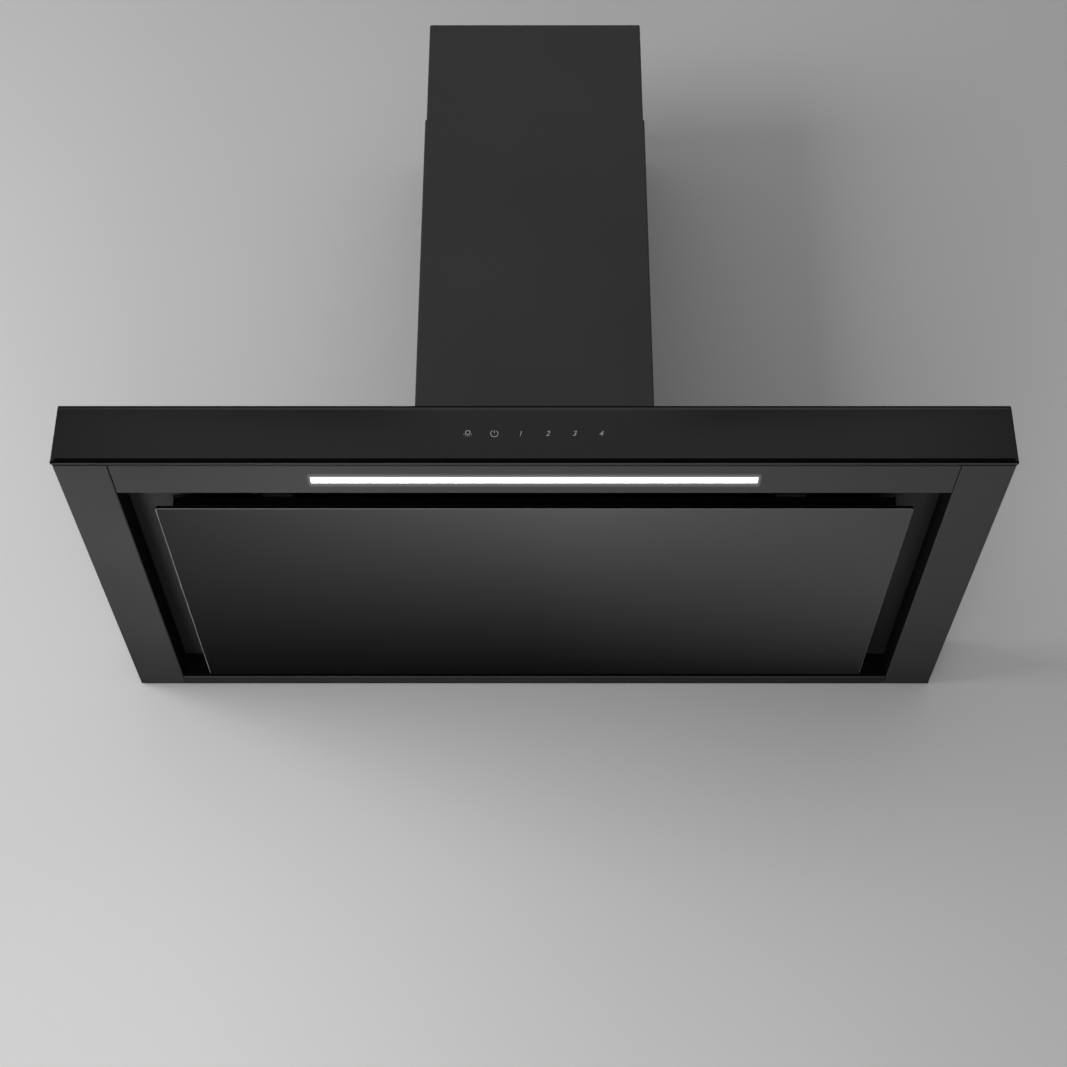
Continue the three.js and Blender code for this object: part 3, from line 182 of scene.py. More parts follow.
def block(name, low, high):
    """A block between two corners in mm."""
    low, high = Vector(low) * MM, Vector(high) * MM
    bpy.ops.mesh.primitive_cube_add(size=1)
    size = Matrix.Diagonal((*(high - low), 1))
    return placed(name, Matrix.Translation((low + high) / 2) @ size)


def turned_to(direction):
    """The turn that takes +Z to a direction."""
    return Vector(UP).rotation_difference(Vector(direction)).to_matrix().to_4x4()


def rod(name, foot, direction, length, radius):
    """A round rod from its foot along a direction, in mm."""
    bpy.ops.mesh.primitive_cylinder_add(vertices=24, radius=radius * MM, depth=length * MM)
    middle = Vector(foot) * MM + Vector(direction).normalized() * length * MM / 2
    return placed(name, Matrix.Translation(middle) @ turned_to(direction))


def cutter(low, high, along, radius):
    """A block with its four edges along an axis rounded, to cut a slot or window with."""
    piece = block("cutter", low, high)
    with editing(piece, "EDGE"):
        pick_edges(piece, lambda middle, run: abs(run["XYZ".index(along)]) > 0.9)
        bpy.ops.mesh.bevel(offset=radius * MM, segments=6, affect="EDGES")
    return piece


def cut_out(piece, *cutters):
    """Takes the cutters' shapes out of a piece."""
    for tool in cutters:
        shaped(piece, "BOOLEAN", object=tool, operation="DIFFERENCE", solver="EXACT")
        bpy.data.objects.remove(tool)


def joined(name, pieces):
    """The pieces as one."""
    only(*pieces)
    if len(pieces) > 1:
        bpy.ops.object.join()
    pieces[0].name = pieces[0].data.name = name
    return pieces[0]


def copy_of(piece, name, matrix=None):
    """A copy with its own mesh, moved by the matrix."""
    twin = piece.copy()
    twin.data = piece.data.copy()
    twin.parent = None
    for key in [key for key in twin.keys() if key.startswith("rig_")]:
        del twin[key]
    bpy.context.scene.collection.objects.link(twin)
    twin.name = twin.data.name = name
    if matrix:
        twin.matrix_world = matrix
        only(twin)
        bpy.ops.object.transform_apply()
    return twin


def mirrored(piece, name):
    """The left-hand copy of a right-hand piece."""
    twin = copy_of(piece, name, Matrix.Diagonal((-1, 1, 1, 1)))
    with editing(twin):
        bpy.ops.mesh.select_all(action="SELECT")
        bpy.ops.mesh.customdata_custom_splitnormals_clear()
        bpy.ops.mesh.normals_make_consistent(inside=False)
    return smooth(twin)


def folded(name, axis, span, path, bend=1.8):
    """Sheet folded along its outer face's path, in mm, with the steel to the path's left.

    The folds run along the axis, between the two ends in span.
    """
    start, end = span if axis != "Y" else span[::-1]

    def point(spot, along):
        u, v = spot
        return Vector({"X": (along, u, v), "Y": (u, along, v), "Z": (u, v, along)}[axis]) * MM

    middle = (start + end) / 2
    run = point(path[0], end) - point(path[0], start)
    first = point(path[1], middle) - point(path[0], middle)
    face = run.cross(first).normalized()
    bpy.ops.mesh.primitive_plane_add(size=1)
    centre = (point(path[0], middle) + point(path[1], middle)) / 2
    lie = Matrix((run, first, face)).transposed().to_4x4()
    piece = placed(name, Matrix.Translation(centre) @ lie)
    with editing(piece, "EDGE"):
        for here, there in zip(path[1:], path[2:]):
            edge = point(here, middle) / MM
            pick_edges(piece, lambda spot, _: (spot - edge).length < NEAR)
            step = point(there, middle) - point(here, middle)
            bpy.ops.mesh.extrude_region_move(TRANSFORM_OT_translate={"value": step})
        for before, here, after in zip(path, path[1:], path[2:]):
            turn = ((here[0] - before[0]) * (after[1] - here[1])
                    - (here[1] - before[1]) * (after[0] - here[0]))
            edge = point(here, middle) / MM
            pick_edges(piece, lambda spot, _: (spot - edge).length < NEAR)
            radius = bend if turn > 0 else bend - SHEET
            bpy.ops.mesh.bevel(offset=radius * MM, segments=4, affect="EDGES")
    return shaped(piece, "SOLIDIFY", thickness=SHEET * MM, offset=1, use_even_offset=True)


def softened(node, width):
    """A copy of a CAD node with its facets merged, and its edges eased by a width in mm."""
    piece = copy_of(frame["nodes"][node], f"{node}_soft")
    with editing(piece, "VERT"):
        bpy.ops.mesh.select_all(action="SELECT")
        bpy.ops.mesh.customdata_custom_splitnormals_clear()
        bpy.ops.mesh.remove_doubles(threshold=0.00001)
        bpy.ops.mesh.dissolve_limited(angle_limit=math.radians(0.5))
    return eased(piece, width, angle=40) if width else smooth(piece)


def dress(piece, finish):
    """Gives a piece this finish all over."""
    piece.data.materials.clear()
    piece.data.materials.append(finish)


def dress_faces(piece, finish, test):
    """Gives this finish to the faces whose middle in mm and normal pass the test."""
    piece.data.materials.append(finish)
    for face in piece.data.polygons:
        if test(Vector(face.center) / MM, face.normal):
            face.material_index = len(piece.data.materials) - 1


def fitted(piece, node, slot=None):
    """A detail that rides with a CAD node, in that node's slot or another one."""
    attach(piece, body_of[node])
    slot = slot or slot_of[node]
    if not piece.data.materials:
        dress(piece, finishes[slot])


def stands_for(piece, node):
    """The piece takes a CAD node's place, body, slot and finish."""
    fitted(piece, node)
    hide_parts(node)
    dressed.add(node)


# ---------------------------- places

rail_lip = 14                            # folded lips that carry the tray
tray_floor = corners("intake_tray")[0].z

# Touch fields on the front glass, and the lamp's slot in the underside.
key_pitch, key_height, window_margin = 24.9, 2.2, 9
keys = [(i - 2.5) * key_pitch for i in range(6)]
lamp_low, lamp_high = corners("light_diffuser")
lamp_line = middle_of("light_diffuser").y
slot_end, slot_front, slot_rear = lamp_high.x - 0.2, lamp_line - 5.7, lamp_line + 4.5

# The air box walls, from its flange and its cover.
air_box_side = corners("air_box_cover")[1].x
air_box_front = corners("air_box_cover")[1].y - SHEET
air_box_rear = corners("air_box")[1].y
opening_margin = 10                      # the canopy's air opening inside the air box walls

# ---------------------------- finishes


def linear(code):
    """Linear colour of an sRGB hex value."""
    values = [int(code[i:i + 2], 16) / 255 for i in (1, 3, 5)]
    return (*[v / 12.92 if v <= 0.04045 else ((v + 0.055) / 1.055) ** 2.4 for v in values], 1)


def add(tree, kind, sockets=None, **settings):
    """Adds a node with its settings. A socket takes a value, or another node's output to link."""
    node = tree.nodes.new(kind)
    for name, value in settings.items():
        setattr(node, name, value)
    for name, value in (sockets or {}).items():
        if isinstance(value, bpy.types.NodeSocket):
            tree.links.new(value, node.inputs[name])
        else:
            node.inputs[name].default_value = value
    return node


def finish(name, colour, roughness, **sockets):
    """A material with a plain base, and its tree and shader for the pattern."""
    material = bpy.data.materials.new(name)
    material.use_nodes = True
    tree = material.node_tree
    shader = tree.nodes["Principled BSDF"]
    shader.inputs["Base Color"].default_value = linear(colour)
    shader.inputs["Roughness"].default_value = roughness
    for socket, value in sockets.items():
        shader.inputs[socket.replace("_", " ")].default_value = value
    return material, tree, shader


def patches(tree, size, low, high, stretch=(1, 1, 1), detail=2):
    """A soft pattern with patches of this size in mm, between two values."""
    place = add(tree, "ShaderNodeTexCoord").outputs["Object"]
    pulled = add(tree, "ShaderNodeMapping", {"Vector": place, "Scale": stretch}).outputs["Vector"]
    noise = add(tree, "ShaderNodeTexNoise", {
        "Vector": pulled, "Scale": 0.5 / (size * MM), "Detail": detail})
    return add(tree, "ShaderNodeMapRange", {
        "Value": noise.outputs["Fac"], "From Min": 0.3, "From Max": 0.7, "To Min": low,
        "To Max": high}).outputs["Result"]


def patterned(tree, shader, colour, shade=None, gloss=None, height=None, depth=0):
    """Lets patterns drive a finish: its lightness, its roughness, its relief by a depth in mm."""
    if shade:
        shaded = add(tree, "ShaderNodeHueSaturation", {"Color": linear(colour), "Value": shade})
        tree.links.new(shaded.outputs["Color"], shader.inputs["Base Color"])
    if gloss:
        tree.links.new(gloss, shader.inputs["Roughness"])
    if height:
        raised = add(tree, "ShaderNodeBump", {
            "Height": height, "Distance": depth * MM, "Strength": 1.0})
        tree.links.new(raised.outputs["Normal"], shader.inputs["Normal"])


def powder_coated_steel(name, colour, roughness, specular):
    """Polyester powder coat baked on folded steel: a satin black skin with a slight orange peel.

    The peel's bumps are about 1.4 mm apart, drawn at 2.2 mm so that they show.
    """
    material, tree, shader = finish(name, colour, roughness, IOR=1.5,
                                    Specular_IOR_Level=specular)
    patterned(tree, shader, colour, shade=patches(tree, 90, 0.92, 1.08),
              gloss=patches(tree, 45, roughness - 0.03, roughness + 0.03),
              height=patches(tree, 2.2, 0, 1, detail=0), depth=0.006)
    return material


def lamp_spill(material):
    """A painted glow on the sheet close round the proud diffuser, standing for the light it throws
    there, fading over a few mm.
    """
    half_width, end_reach, side_reach, strength = 5.8, 3.5, 8.0, 0.11
    outer_face = corners("front_rail")[0].z + 0.5
    tree = material.node_tree
    shader = tree.nodes["Principled BSDF"]
    place = add(tree, "ShaderNodeTexCoord").outputs["Object"]
    spot = add(tree, "ShaderNodeSeparateXYZ", {"Vector": place})
    sideways = add(tree, "ShaderNodeMath", {0: spot.outputs["X"]}, operation="ABSOLUTE")
    past_end = add(tree, "ShaderNodeMapRange", {
        "Value": sideways.outputs[0], "From Min": lamp_high.x * MM,
        "From Max": (lamp_high.x + end_reach) * MM})
    off_line = add(tree, "ShaderNodeMath", {
        0: spot.outputs["Y"], 1: -lamp_line * MM}, operation="ADD")
    off_line = add(tree, "ShaderNodeMath", {0: off_line.outputs[0]}, operation="ABSOLUTE")
    past_side = add(tree, "ShaderNodeMapRange", {
        "Value": off_line.outputs[0], "From Min": half_width * MM,
        "From Max": (half_width + side_reach) * MM})
    away = add(tree, "ShaderNodeCombineXYZ", {
        "X": past_end.outputs["Result"], "Y": past_side.outputs["Result"]})
    away = add(tree, "ShaderNodeVectorMath", {0: away.outputs["Vector"]}, operation="LENGTH")
    fade = add(tree, "ShaderNodeMapRange", {
        "Value": away.outputs["Value"], "To Min": strength, "To Max": 0.0},
        interpolation_type="SMOOTHSTEP")
    outside = add(tree, "ShaderNodeMath", {
        0: spot.outputs["Z"], 1: outer_face * MM}, operation="LESS_THAN")
    spill = add(tree, "ShaderNodeMath", {
        0: fade.outputs["Result"], 1: outside.outputs[0]}, operation="MULTIPLY")
    shader.inputs["Emission Color"].default_value = linear("#ffffff")
    tree.links.new(spill.outputs[0], shader.inputs["Emission Strength"])
    return material


def back_painted_glass(name, colour, roughness, specular):
    """Float glass painted black on its back: a deep, even black under a clear reflection."""
    material, tree, shader = finish(name, colour, roughness, IOR=1.5,
                                    Specular_IOR_Level=specular)
    patterned(tree, shader, colour, shade=patches(tree, 160, 0.9, 1.1),
              gloss=patches(tree, 60, roughness * 0.8, roughness * 1.2),
              height=patches(tree, 220, 0, 1, detail=0), depth=0.02)
    return material


def ground_glass_edge(name, colour):
    """Ground arris along a glass edge: a fine frosted line, paler than the glass, its grey a
    painted highlight for the bright line it shows.
    """
    material, tree, shader = finish(name, colour, 0.45, IOR=1.5)
    patterned(tree, shader, colour, shade=patches(tree, 3, 0.9, 1.1),
              height=patches(tree, 0.8, 0, 1), depth=0.02)
    return material


def black_enamelled_edge(name, colour):
    """A near-black edge with almost no shine, the blackest line of the hood: painted shade for the
    shadow gap along the front glass's top, and the dark edges of the glass.
    """
    material, tree, shader = finish(name, colour, 0.5, IOR=1.5, Specular_IOR_Level=0.02)
    patterned(tree, shader, colour, shade=patches(tree, 20, 0.8, 1.2))
    return material


def rubber_gasket(name, colour):
    """A dull black that lights up nowhere: painted shade for the shadow gap along the trim under
    the front glass and inside its groove.
    """
    material, tree, shader = finish(name, colour, 0.8, Specular_IOR_Level=0.03)
    patterned(tree, shader, colour, shade=patches(tree, 12, 0.8, 1.2),
              height=patches(tree, 0.8, 0, 1), depth=0.02)
    return material


def opal_acrylic(name, colour):
    """Opal acrylic lit from behind: an even white line, a little softer between the diodes."""
    material, tree, shader = finish(name, colour, 0.35, IOR=1.49,
                                    Emission_Color=linear("#ffffff"))
    patterned(tree, shader, colour, height=patches(tree, 0.8, 0, 1), depth=0.01)
    glow = patches(tree, 17, 1.04, 1.14, stretch=(1, 0, 0))
    tree.links.new(glow, shader.inputs["Emission Strength"])
    return material


def drawn_aluminium(name, colour, roughness, metallic):
    """Extruded or rolled aluminium: fine lines along its length that spread the reflection."""
    material, tree, shader = finish(name, colour, roughness, Metallic=metallic)
    along = (0.02, 1, 1)
    patterned(tree, shader, colour, shade=patches(tree, 30, 0.93, 1.07),
              gloss=patches(tree, 0.8, roughness - 0.05, roughness + 0.05, stretch=along),
              height=patches(tree, 0.8, 0, 1, stretch=along), depth=0.01)
    return material


def expanded_metal(name, colour):
    """Aluminium foil, slit and stretched into a net: rows of small diamond holes, 3 mm long."""
    material, tree, shader = finish(name, colour, 0.42, Metallic=0.7)
    place = add(tree, "ShaderNodeTexCoord").outputs["Object"]
    pulled = add(tree, "ShaderNodeMapping", {"Vector": place, "Scale": (1, 1.7, 1)})
    cells = add(tree, "ShaderNodeTexVoronoi", {
        "Vector": pulled.outputs["Vector"], "Scale": 1 / (3 * MM), "Randomness": 0.25},
        feature="DISTANCE_TO_EDGE")
    strand = add(tree, "ShaderNodeMapRange", {
        "Value": cells.outputs["Distance"], "From Min": 0.08, "From Max": 0.22, "To Min": 1.3,
        "To Max": 0.15})
    patterned(tree, shader, colour, shade=strand.outputs["Result"],
              height=strand.outputs["Result"], depth=0.3)
    return material


def galvanised_steel(name, colour):
    """Hot-dip galvanised sheet: grey zinc with a spangle of crystals about 9 mm wide."""
    material, tree, shader = finish(name, colour, 0.42, Metallic=0.9)
    place = add(tree, "ShaderNodeTexCoord").outputs["Object"]
    crystals = add(tree, "ShaderNodeTexVoronoi", {"Vector": place, "Scale": 1 / (9 * MM)})
    value = add(tree, "ShaderNodeSeparateColor", {"Color": crystals.outputs["Color"]})
    shade = add(tree, "ShaderNodeMapRange", {
        "Value": value.outputs["Red"], "To Min": 0.82, "To Max": 1.12})
    gloss = add(tree, "ShaderNodeMapRange", {
        "Value": value.outputs["Green"], "To Min": 0.34, "To Max": 0.5})
    patterned(tree, shader, colour, shade=shade.outputs["Result"], gloss=gloss.outputs["Result"],
              height=patches(tree, 1.5, 0, 1), depth=0.01)
    return material


def nickel_plated_steel(name, colour):
    """Turned steel with a nickel plate: bright, with the fine marks of turning and tumbling."""
    material, tree, shader = finish(name, colour, 0.26, Metallic=1.0)
    patterned(tree, shader, colour, shade=patches(tree, 8, 0.92, 1.06),
              gloss=patches(tree, 3, 0.2, 0.34), height=patches(tree, 0.8, 0, 1), depth=0.005)
    return material


def solder_mask_board(name, colour):
    """Glass-fibre board under green solder mask: the weave and the copper tracks show faintly."""
    material, tree, shader = finish(name, colour, 0.35, IOR=1.5)
    patterned(tree, shader, colour, shade=patches(tree, 6, 0.7, 1.3, stretch=(0.4, 1, 1)),
              height=patches(tree, 1.2, 0, 1), depth=0.03)
    return material


def moulded_plastic(name, colour, roughness):
    """Injection-moulded ABS: a fine spark-eroded grain, 1 mm, that dulls the shine."""
    material, tree, shader = finish(name, colour, roughness, IOR=1.53)
    patterned(tree, shader, colour, shade=patches(tree, 40, 0.94, 1.06),
              gloss=patches(tree, 15, roughness - 0.05, roughness + 0.05),
              height=patches(tree, 1, 0, 1), depth=0.03)
    return material


def enamelled_copper(name, colour):
    """Wound magnet wire under clear enamel: rows of 0.8 mm turns with a warm shine."""
    material, tree, shader = finish(name, colour, 0.32, Metallic=0.8)
    place = add(tree, "ShaderNodeTexCoord").outputs["Object"]
    turns = add(tree, "ShaderNodeTexWave", {
        "Vector": place, "Scale": 0.314 / (0.8 * MM), "Distortion": 1.5}, bands_direction="X")
    shade = add(tree, "ShaderNodeMapRange", {
        "Value": turns.outputs["Fac"], "To Min": 0.6, "To Max": 1.1})
    patterned(tree, shader, colour, shade=shade.outputs["Result"], height=turns.outputs["Fac"],
              depth=0.25)
    return material


def screen_printed_ink(name, colour):
    """Ceramic ink printed and fired on the glass: a pale, slightly uneven grey."""
    material, tree, shader = finish(name, colour, 0.5, IOR=1.5)
    patterned(tree, shader, colour, shade=patches(tree, 1.5, 0.85, 1.1))
    return material


# One finish for each of the record's material slots.
finishes = {
    "black_steel": powder_coated_steel("satin_black_powder_coat", "#272727", 0.4, 0.12),
    "cover_steel": powder_coated_steel("satin_black_powder_coat_covers", "#282828", 0.42, 0.15),
    "black_trim": powder_coated_steel("black_trim_coat", "#242424", 0.4, 0.12),
    "black_glass": back_painted_glass("black_front_glass", "#0a0a0a", 0.06, 0.27),
    "panel_glass": back_painted_glass("black_panel_glass", "#060606", 0.03, 0.5),
    "opal_plastic": opal_acrylic("opal_acrylic", "#f2f2ef"),
    "aluminium": drawn_aluminium("mill_aluminium", "#b6b8ba", 0.36, 1.0),
    # The filters' frames and nets are drawn near black.
    "black_aluminium": drawn_aluminium("dark_filter_alloy", "#0c0c0c", 0.45, 0.3),
    "black_mesh": expanded_metal("dark_expanded_foil", "#101010"),
    "zinc_steel": galvanised_steel("galvanised_steel", "#9ea2a4"),
    "nickel_steel": nickel_plated_steel("nickel_plated_steel", "#b9b5ad"),
    "circuit_board": solder_mask_board("solder_mask_board", "#123a20"),
    "black_plastic": moulded_plastic("moulded_black_abs", "#17181a", 0.5),
    "grey_plastic": moulded_plastic("moulded_grey_abs", "#6c6f72", 0.48),
    "white_plastic": moulded_plastic("moulded_white_abs", "#d9d9d5", 0.42),
    "windings": enamelled_copper("enamelled_copper", "#8a4b26"),
}

# Finishes of faces that differ from the rest of their piece, and of the printed marks. The darker
# coats inside the canopy are painted shade, and the one by the lamp has a painted glow of the
# lamp's light on it.
# Painted highlight: pale arrises, brighter on the panel's sides than on its ends, as the light
# falls.
side_highlight_arris = ground_glass_edge("ground_side_highlight", "#707070")
end_highlight_arris = ground_glass_edge("ground_end_highlight", "#484848")
bevel_glass = back_painted_glass("black_glass_bevel", "#0a0a0a", 0.08, 0.42)
# Painted shade: near black for the shadow gap along the front glass's top and for the glass edges.
shade_edge = black_enamelled_edge("black_enamelled_edge", "#030303")
# Painted shade: dull black for the trim's front face and groove.
shade_strip = rubber_gasket("rubber_gasket", "#030303")
ink = screen_printed_ink("screen_printed_ink", "#8f9090")
# Painted light: the coat round the lamp's slot glows faintly, as if lit by the lamp.
glow_painted_coat = lamp_spill(powder_coated_steel("satin_black_coat_with_lamp_glow_painted", "#272727", 0.4, 0.12))
# Painted shade: a near-black coat for inner walls, recesses and contact lines where shade falls.
deep_shade_coat = powder_coated_steel("matt_black_painted_deep_shade", "#090909", 0.6, 0.05)
# Painted shade: a darker copy of the satin coat, for the tray and the strip at the wall, which sit
# in shade.
half_shade_coat = powder_coated_steel("black_painted_half_shade", "#202020", 0.4, 0.12)

# ---------------------------- canopy

low, high = corners("canopy_top")
top = folded("canopy_top_sheet", "X", (low.x, high.x),
             [(high.y, low.z), (high.y, high.z), (low.y, high.z)])
opening = air_box_side - opening_margin
cut_out(top, cutter((-opening, air_box_front + opening_margin, high.z - SHEET - PAST),
                    (opening, air_box_rear - opening_margin, high.z + PAST), "Z", 4))
eased(top)
dress(top, finishes["black_steel"])
# Painted shade: the top's rear foot at the wall is drawn near black.
dress_faces(top, deep_shade_coat,
            lambda spot, face: spot.z < low.z + EDGE and spot.y > high.y - SHEET - NEAR)
stands_for(top, "canopy_top")

low, high = corners("side_rail_right")
rail = folded("side_rail_right_sheet", "Y", (low.y, high.y),
              [(low.x + rail_lip, tray_floor), (low.x, tray_floor), (low.x, low.z),
               (high.x, low.z), (high.x, high.z)])
flap = block("front_flap", (low.x + SHEET / 2, low.y, low.z + SHEET / 2),
             (high.x - SHEET / 2, low.y + SHEET, high.z))
rail = joined("side_rail_right_sheet", [eased(rail), eased(flap)])
dress(rail, finishes["black_steel"])
# Painted shade: the rails' inner walls in the recess are drawn near black.
dress_faces(rail, deep_shade_coat, lambda spot, face: face.x < -0.7 and spot.x < low.x + EDGE
            and spot.z > low.z + EDGE)
stands_for(mirrored(rail, "side_rail_left_sheet"), "side_rail_left")
stands_for(rail, "side_rail_right")

low, high = corners("front_rail")
rail_seam = 0.5                          # seen between the front rail and the side rails
front = folded("front_rail_sheet", "X", (low.x + rail_seam, high.x - rail_seam),
               [(low.y, high.z), (low.y, low.z), (high.y, low.z), (high.y, tray_floor),
                (high.y - rail_lip, tray_floor)])
cut_out(front,
        cutter((-slot_end, slot_front, low.z - PAST), (slot_end, slot_rear, low.z + SHEET + PAST),
               "Z", 1),
        cutter((keys[0] - window_margin, low.y - PAST, key_height - window_margin),
               (keys[-1] + window_margin, low.y + SHEET + PAST, key_height + window_margin),
               "Y", 2))
# The front strip carries the painted glow of the lamp round its slot.
dress(front, glow_painted_coat)
stands_for(eased(front), "front_rail")

low, high = corners("rear_rail")
groove = low.y + 5.7                     # fine line along the strip at the wall
rear = folded("rear_rail_sheet", "X", (low.x, high.x),
              [(high.y - 2 * SHEET, high.z), (low.y, high.z), (low.y, low.z), (high.y, low.z),
               (high.y, (low.z + high.z) / 2)])
cut_out(rear, cutter((low.x - PAST, groove - 0.6, low.z - PAST),
                     (high.x + PAST, groove + 0.6, low.z + 0.7), "X", 0.1))
eased(rear)
# Painted shade: the strip at the wall is drawn darker, with the plain coat on its front edge and
# near black on its inner wall.
dress(rear, half_shade_coat)
dress_faces(rear, finishes["black_steel"], lambda spot, face: face.y < -0.3 and face.z < -0.3)
dress_faces(rear, deep_shade_coat, lambda spot, face: face.y < -0.7 and spot.z > low.z + EDGE)
stands_for(rear, "rear_rail")

filter_play, filter_tab = 1, 6           # round a cassette in its window, and its tab's reach
tray = block("intake_tray_sheet", *corners("intake_tray"))
for word in ("left", "right"):
    low, high = corners(f"filter_frame_{word}")
    cut_out(tray, cutter((low.x - filter_play, low.y - filter_play, tray_floor - PAST),
                         (high.x + filter_play, high.y - filter_tab + filter_play,
                          tray_floor + SHEET + PAST), "Z", 3))
# Painted shade: the tray is drawn in the darker coat.
dress(tray, half_shade_coat)
stands_for(eased(tray), "intake_tray")

# ---------------------------- front glass and its marks

low, high = corners("front_glass")
glass_face, glass_foot, glass_back = low.y + 0.1, low.z, high.y
bevel_start, bevel_end = high.z - 5, high.z - 2.1
glass = block("front_glass_plate", (low.x, glass_face, low.z), high)
with editing(glass, "EDGE"):
    for height, set_back in ((bevel_start, 0), (bevel_end, 0.15), (high.z, 0.45)):
        if height < high.z:
            split((0, 0, height), UP)
        pick_edges(glass, lambda spot, run: abs(run.x) > 0.9 and spot.y < glass_face + EDGE
                   and abs(spot.z - height) < NEAR)
        bpy.ops.transform.translate(value=(0, set_back * MM, 0))
    pick_edges(glass, lambda spot, run: abs(run.z) > 0.9 and spot.y < glass_face + EDGE)
    bpy.ops.mesh.bevel(offset=0.9 * MM, segments=1, affect="EDGES")
eased(glass, 0.3, 60)
dress(glass, finishes["black_glass"])
dress_faces(glass, bevel_glass,
            lambda spot, face: bevel_start + NEAR < spot.z < bevel_end - NEAR)
# Painted shade: the strip above the bevel, standing for the shadow gap, and the glass's back and
# edges are drawn near black.
dress_faces(glass, shade_edge, lambda spot, face: face.y > -0.9 or spot.z > bevel_end + NEAR)
stands_for(glass, "front_glass")

low, high = corners("front_trim")
reveal = high.y - 1.7                    # dark groove between the trim and the front strip
reveal_top = low.z + 2.4
trim_height, mitre = glass_foot - low.z, 4.4
trim = block("front_trim_strip", low, (high.x, high.y, glass_foot))
with editing(trim):
    split((0, glass_back, 0), (0, 1, 0))
    pick_faces(trim, lambda spot, face: face.z > 0.9 and spot.y > glass_back)
    leg = (0, 0, (high.z - glass_foot) * MM)
    bpy.ops.mesh.extrude_region_move(TRANSFORM_OT_translate={"value": leg})
cut_out(trim, block("cutter", (low.x - PAST, reveal, low.z - PAST),
                    (high.x + PAST, high.y + PAST, reveal_top)))
eased(trim, 0.3)
with editing(trim):
    for side in (-1, 1):
        split((side * (high.x - mitre), 0, glass_foot), (side * trim_height, 0, mitre))
dress(trim, finishes["black_trim"])
# Painted shade: the trim's front face and the groove behind it are drawn dull black, standing for
# the shadow gap.
dress_faces(trim, shade_strip, lambda spot, face: (face.y < -0.5 and abs(spot.x) < high.x - 10)
            or (spot.y > reveal - 0.2 and spot.z > low.z + 0.2))
stands_for(trim, "front_trim")


def flat_mark(name, low, high, x, y=0.0, turn=0.0):
    """A printed bar between two corners in mm about a mark's own middle, turned about it."""
    piece = block(name, (low[0], -0.04, low[1]), (high[0], 0.02, high[1]))
    piece.matrix_world = (Matrix.Translation(Vector((x, glass_face, key_height + y)) * MM)
                          @ Matrix.Rotation(math.radians(turn), 4, "Y"))
    only(piece)
    bpy.ops.object.transform_apply()
    return piece


def printed_ring(name, x, y, radius, gap=None):
    """A printed ring about a place on the glass, open at its top over an angle in degrees."""
    bpy.ops.mesh.primitive_circle_add(vertices=60, radius=radius * MM)
    place = Matrix.Translation(Vector((x, glass_face - 0.04, key_height + y)) * MM)
    piece = placed(name, place @ Matrix.Rotation(math.radians(90), 4, "X"))
    inner = (radius - 2 * half_stroke) / radius
    with editing(piece, "EDGE"):
        bpy.ops.mesh.select_all(action="SELECT")
        bpy.ops.mesh.extrude_edges_move()
        bpy.ops.transform.resize(value=(inner, 1, inner))
        if gap:
            bpy.ops.mesh.select_mode(type="FACE")
            pick_faces(piece, lambda spot, _: abs(math.degrees(math.atan2(
                spot.x - x, spot.z - key_height - y))) < gap / 2)
            bpy.ops.mesh.delete(type="FACE")
        bpy.ops.mesh.select_all(action="SELECT")
        bpy.ops.mesh.normals_make_consistent(inside=False)
    return shaped(piece, "SOLIDIFY", thickness=0.05 * MM, offset=0)


def printed_number(text, x):
    """A thin slanted number, 5.7 mm high."""
    bpy.ops.object.text_add()
    piece = bpy.context.active_object
    piece.data.body = text
    piece.data.size = 7.9 * MM
    piece.data.shear = 0.3
    piece.data.offset = -0.08 * MM
    piece.data.extrude = 0.02 * MM
    piece.data.align_x = "CENTER"
    piece.data.align_y = "CENTER"
    only(piece)
    bpy.ops.object.convert(target="MESH")
    middle = Vector((x, glass_face - 0.03, key_height)) * MM
    piece = placed(f"mark_{text}", Matrix.Translation(middle)
                   @ Matrix.Rotation(math.radians(90), 4, "X"))
    with editing(piece, "VERT"):
        bpy.ops.mesh.select_all(action="SELECT")
        bpy.ops.mesh.remove_doubles(threshold=0.001 * MM)
        bpy.ops.mesh.dissolve_limited(angle_limit=math.radians(1))
    return piece


half_stroke, bulb_height = 0.25, 1.3
lamp_key, power_key, key_one = keys[:3]
lamp_mark = [printed_ring("lamp_ring", lamp_key, bulb_height, 2.4)]
lamp_mark += [flat_mark("ray", (-half_stroke, -4.6), (half_stroke, -3.4), lamp_key,
                        bulb_height, turn) for turn in (-60, -30, 0, 30, 60)]
power_mark = [printed_ring("power_ring", power_key, 0, 3.7, gap=60),
              flat_mark("power_bar", (-half_stroke, 0.6), (half_stroke, 3.9), power_key)]
number_one = [flat_mark("mark_1", (-half_stroke, -2.8), (half_stroke, 2.8), key_one, turn=17),
              flat_mark("mark_1_flag", (-1.9, 0.4), (-1.45, 1.75), key_one, turn=60)]
numbers = [printed_number(str(i), keys[i + 1]) for i in (2, 3, 4)]
marks = joined("touch_marks", lamp_mark + power_mark + number_one + numbers)
dress(marks, ink)
fitted(smooth(marks), "front_glass")

# ---------------------------- lamp

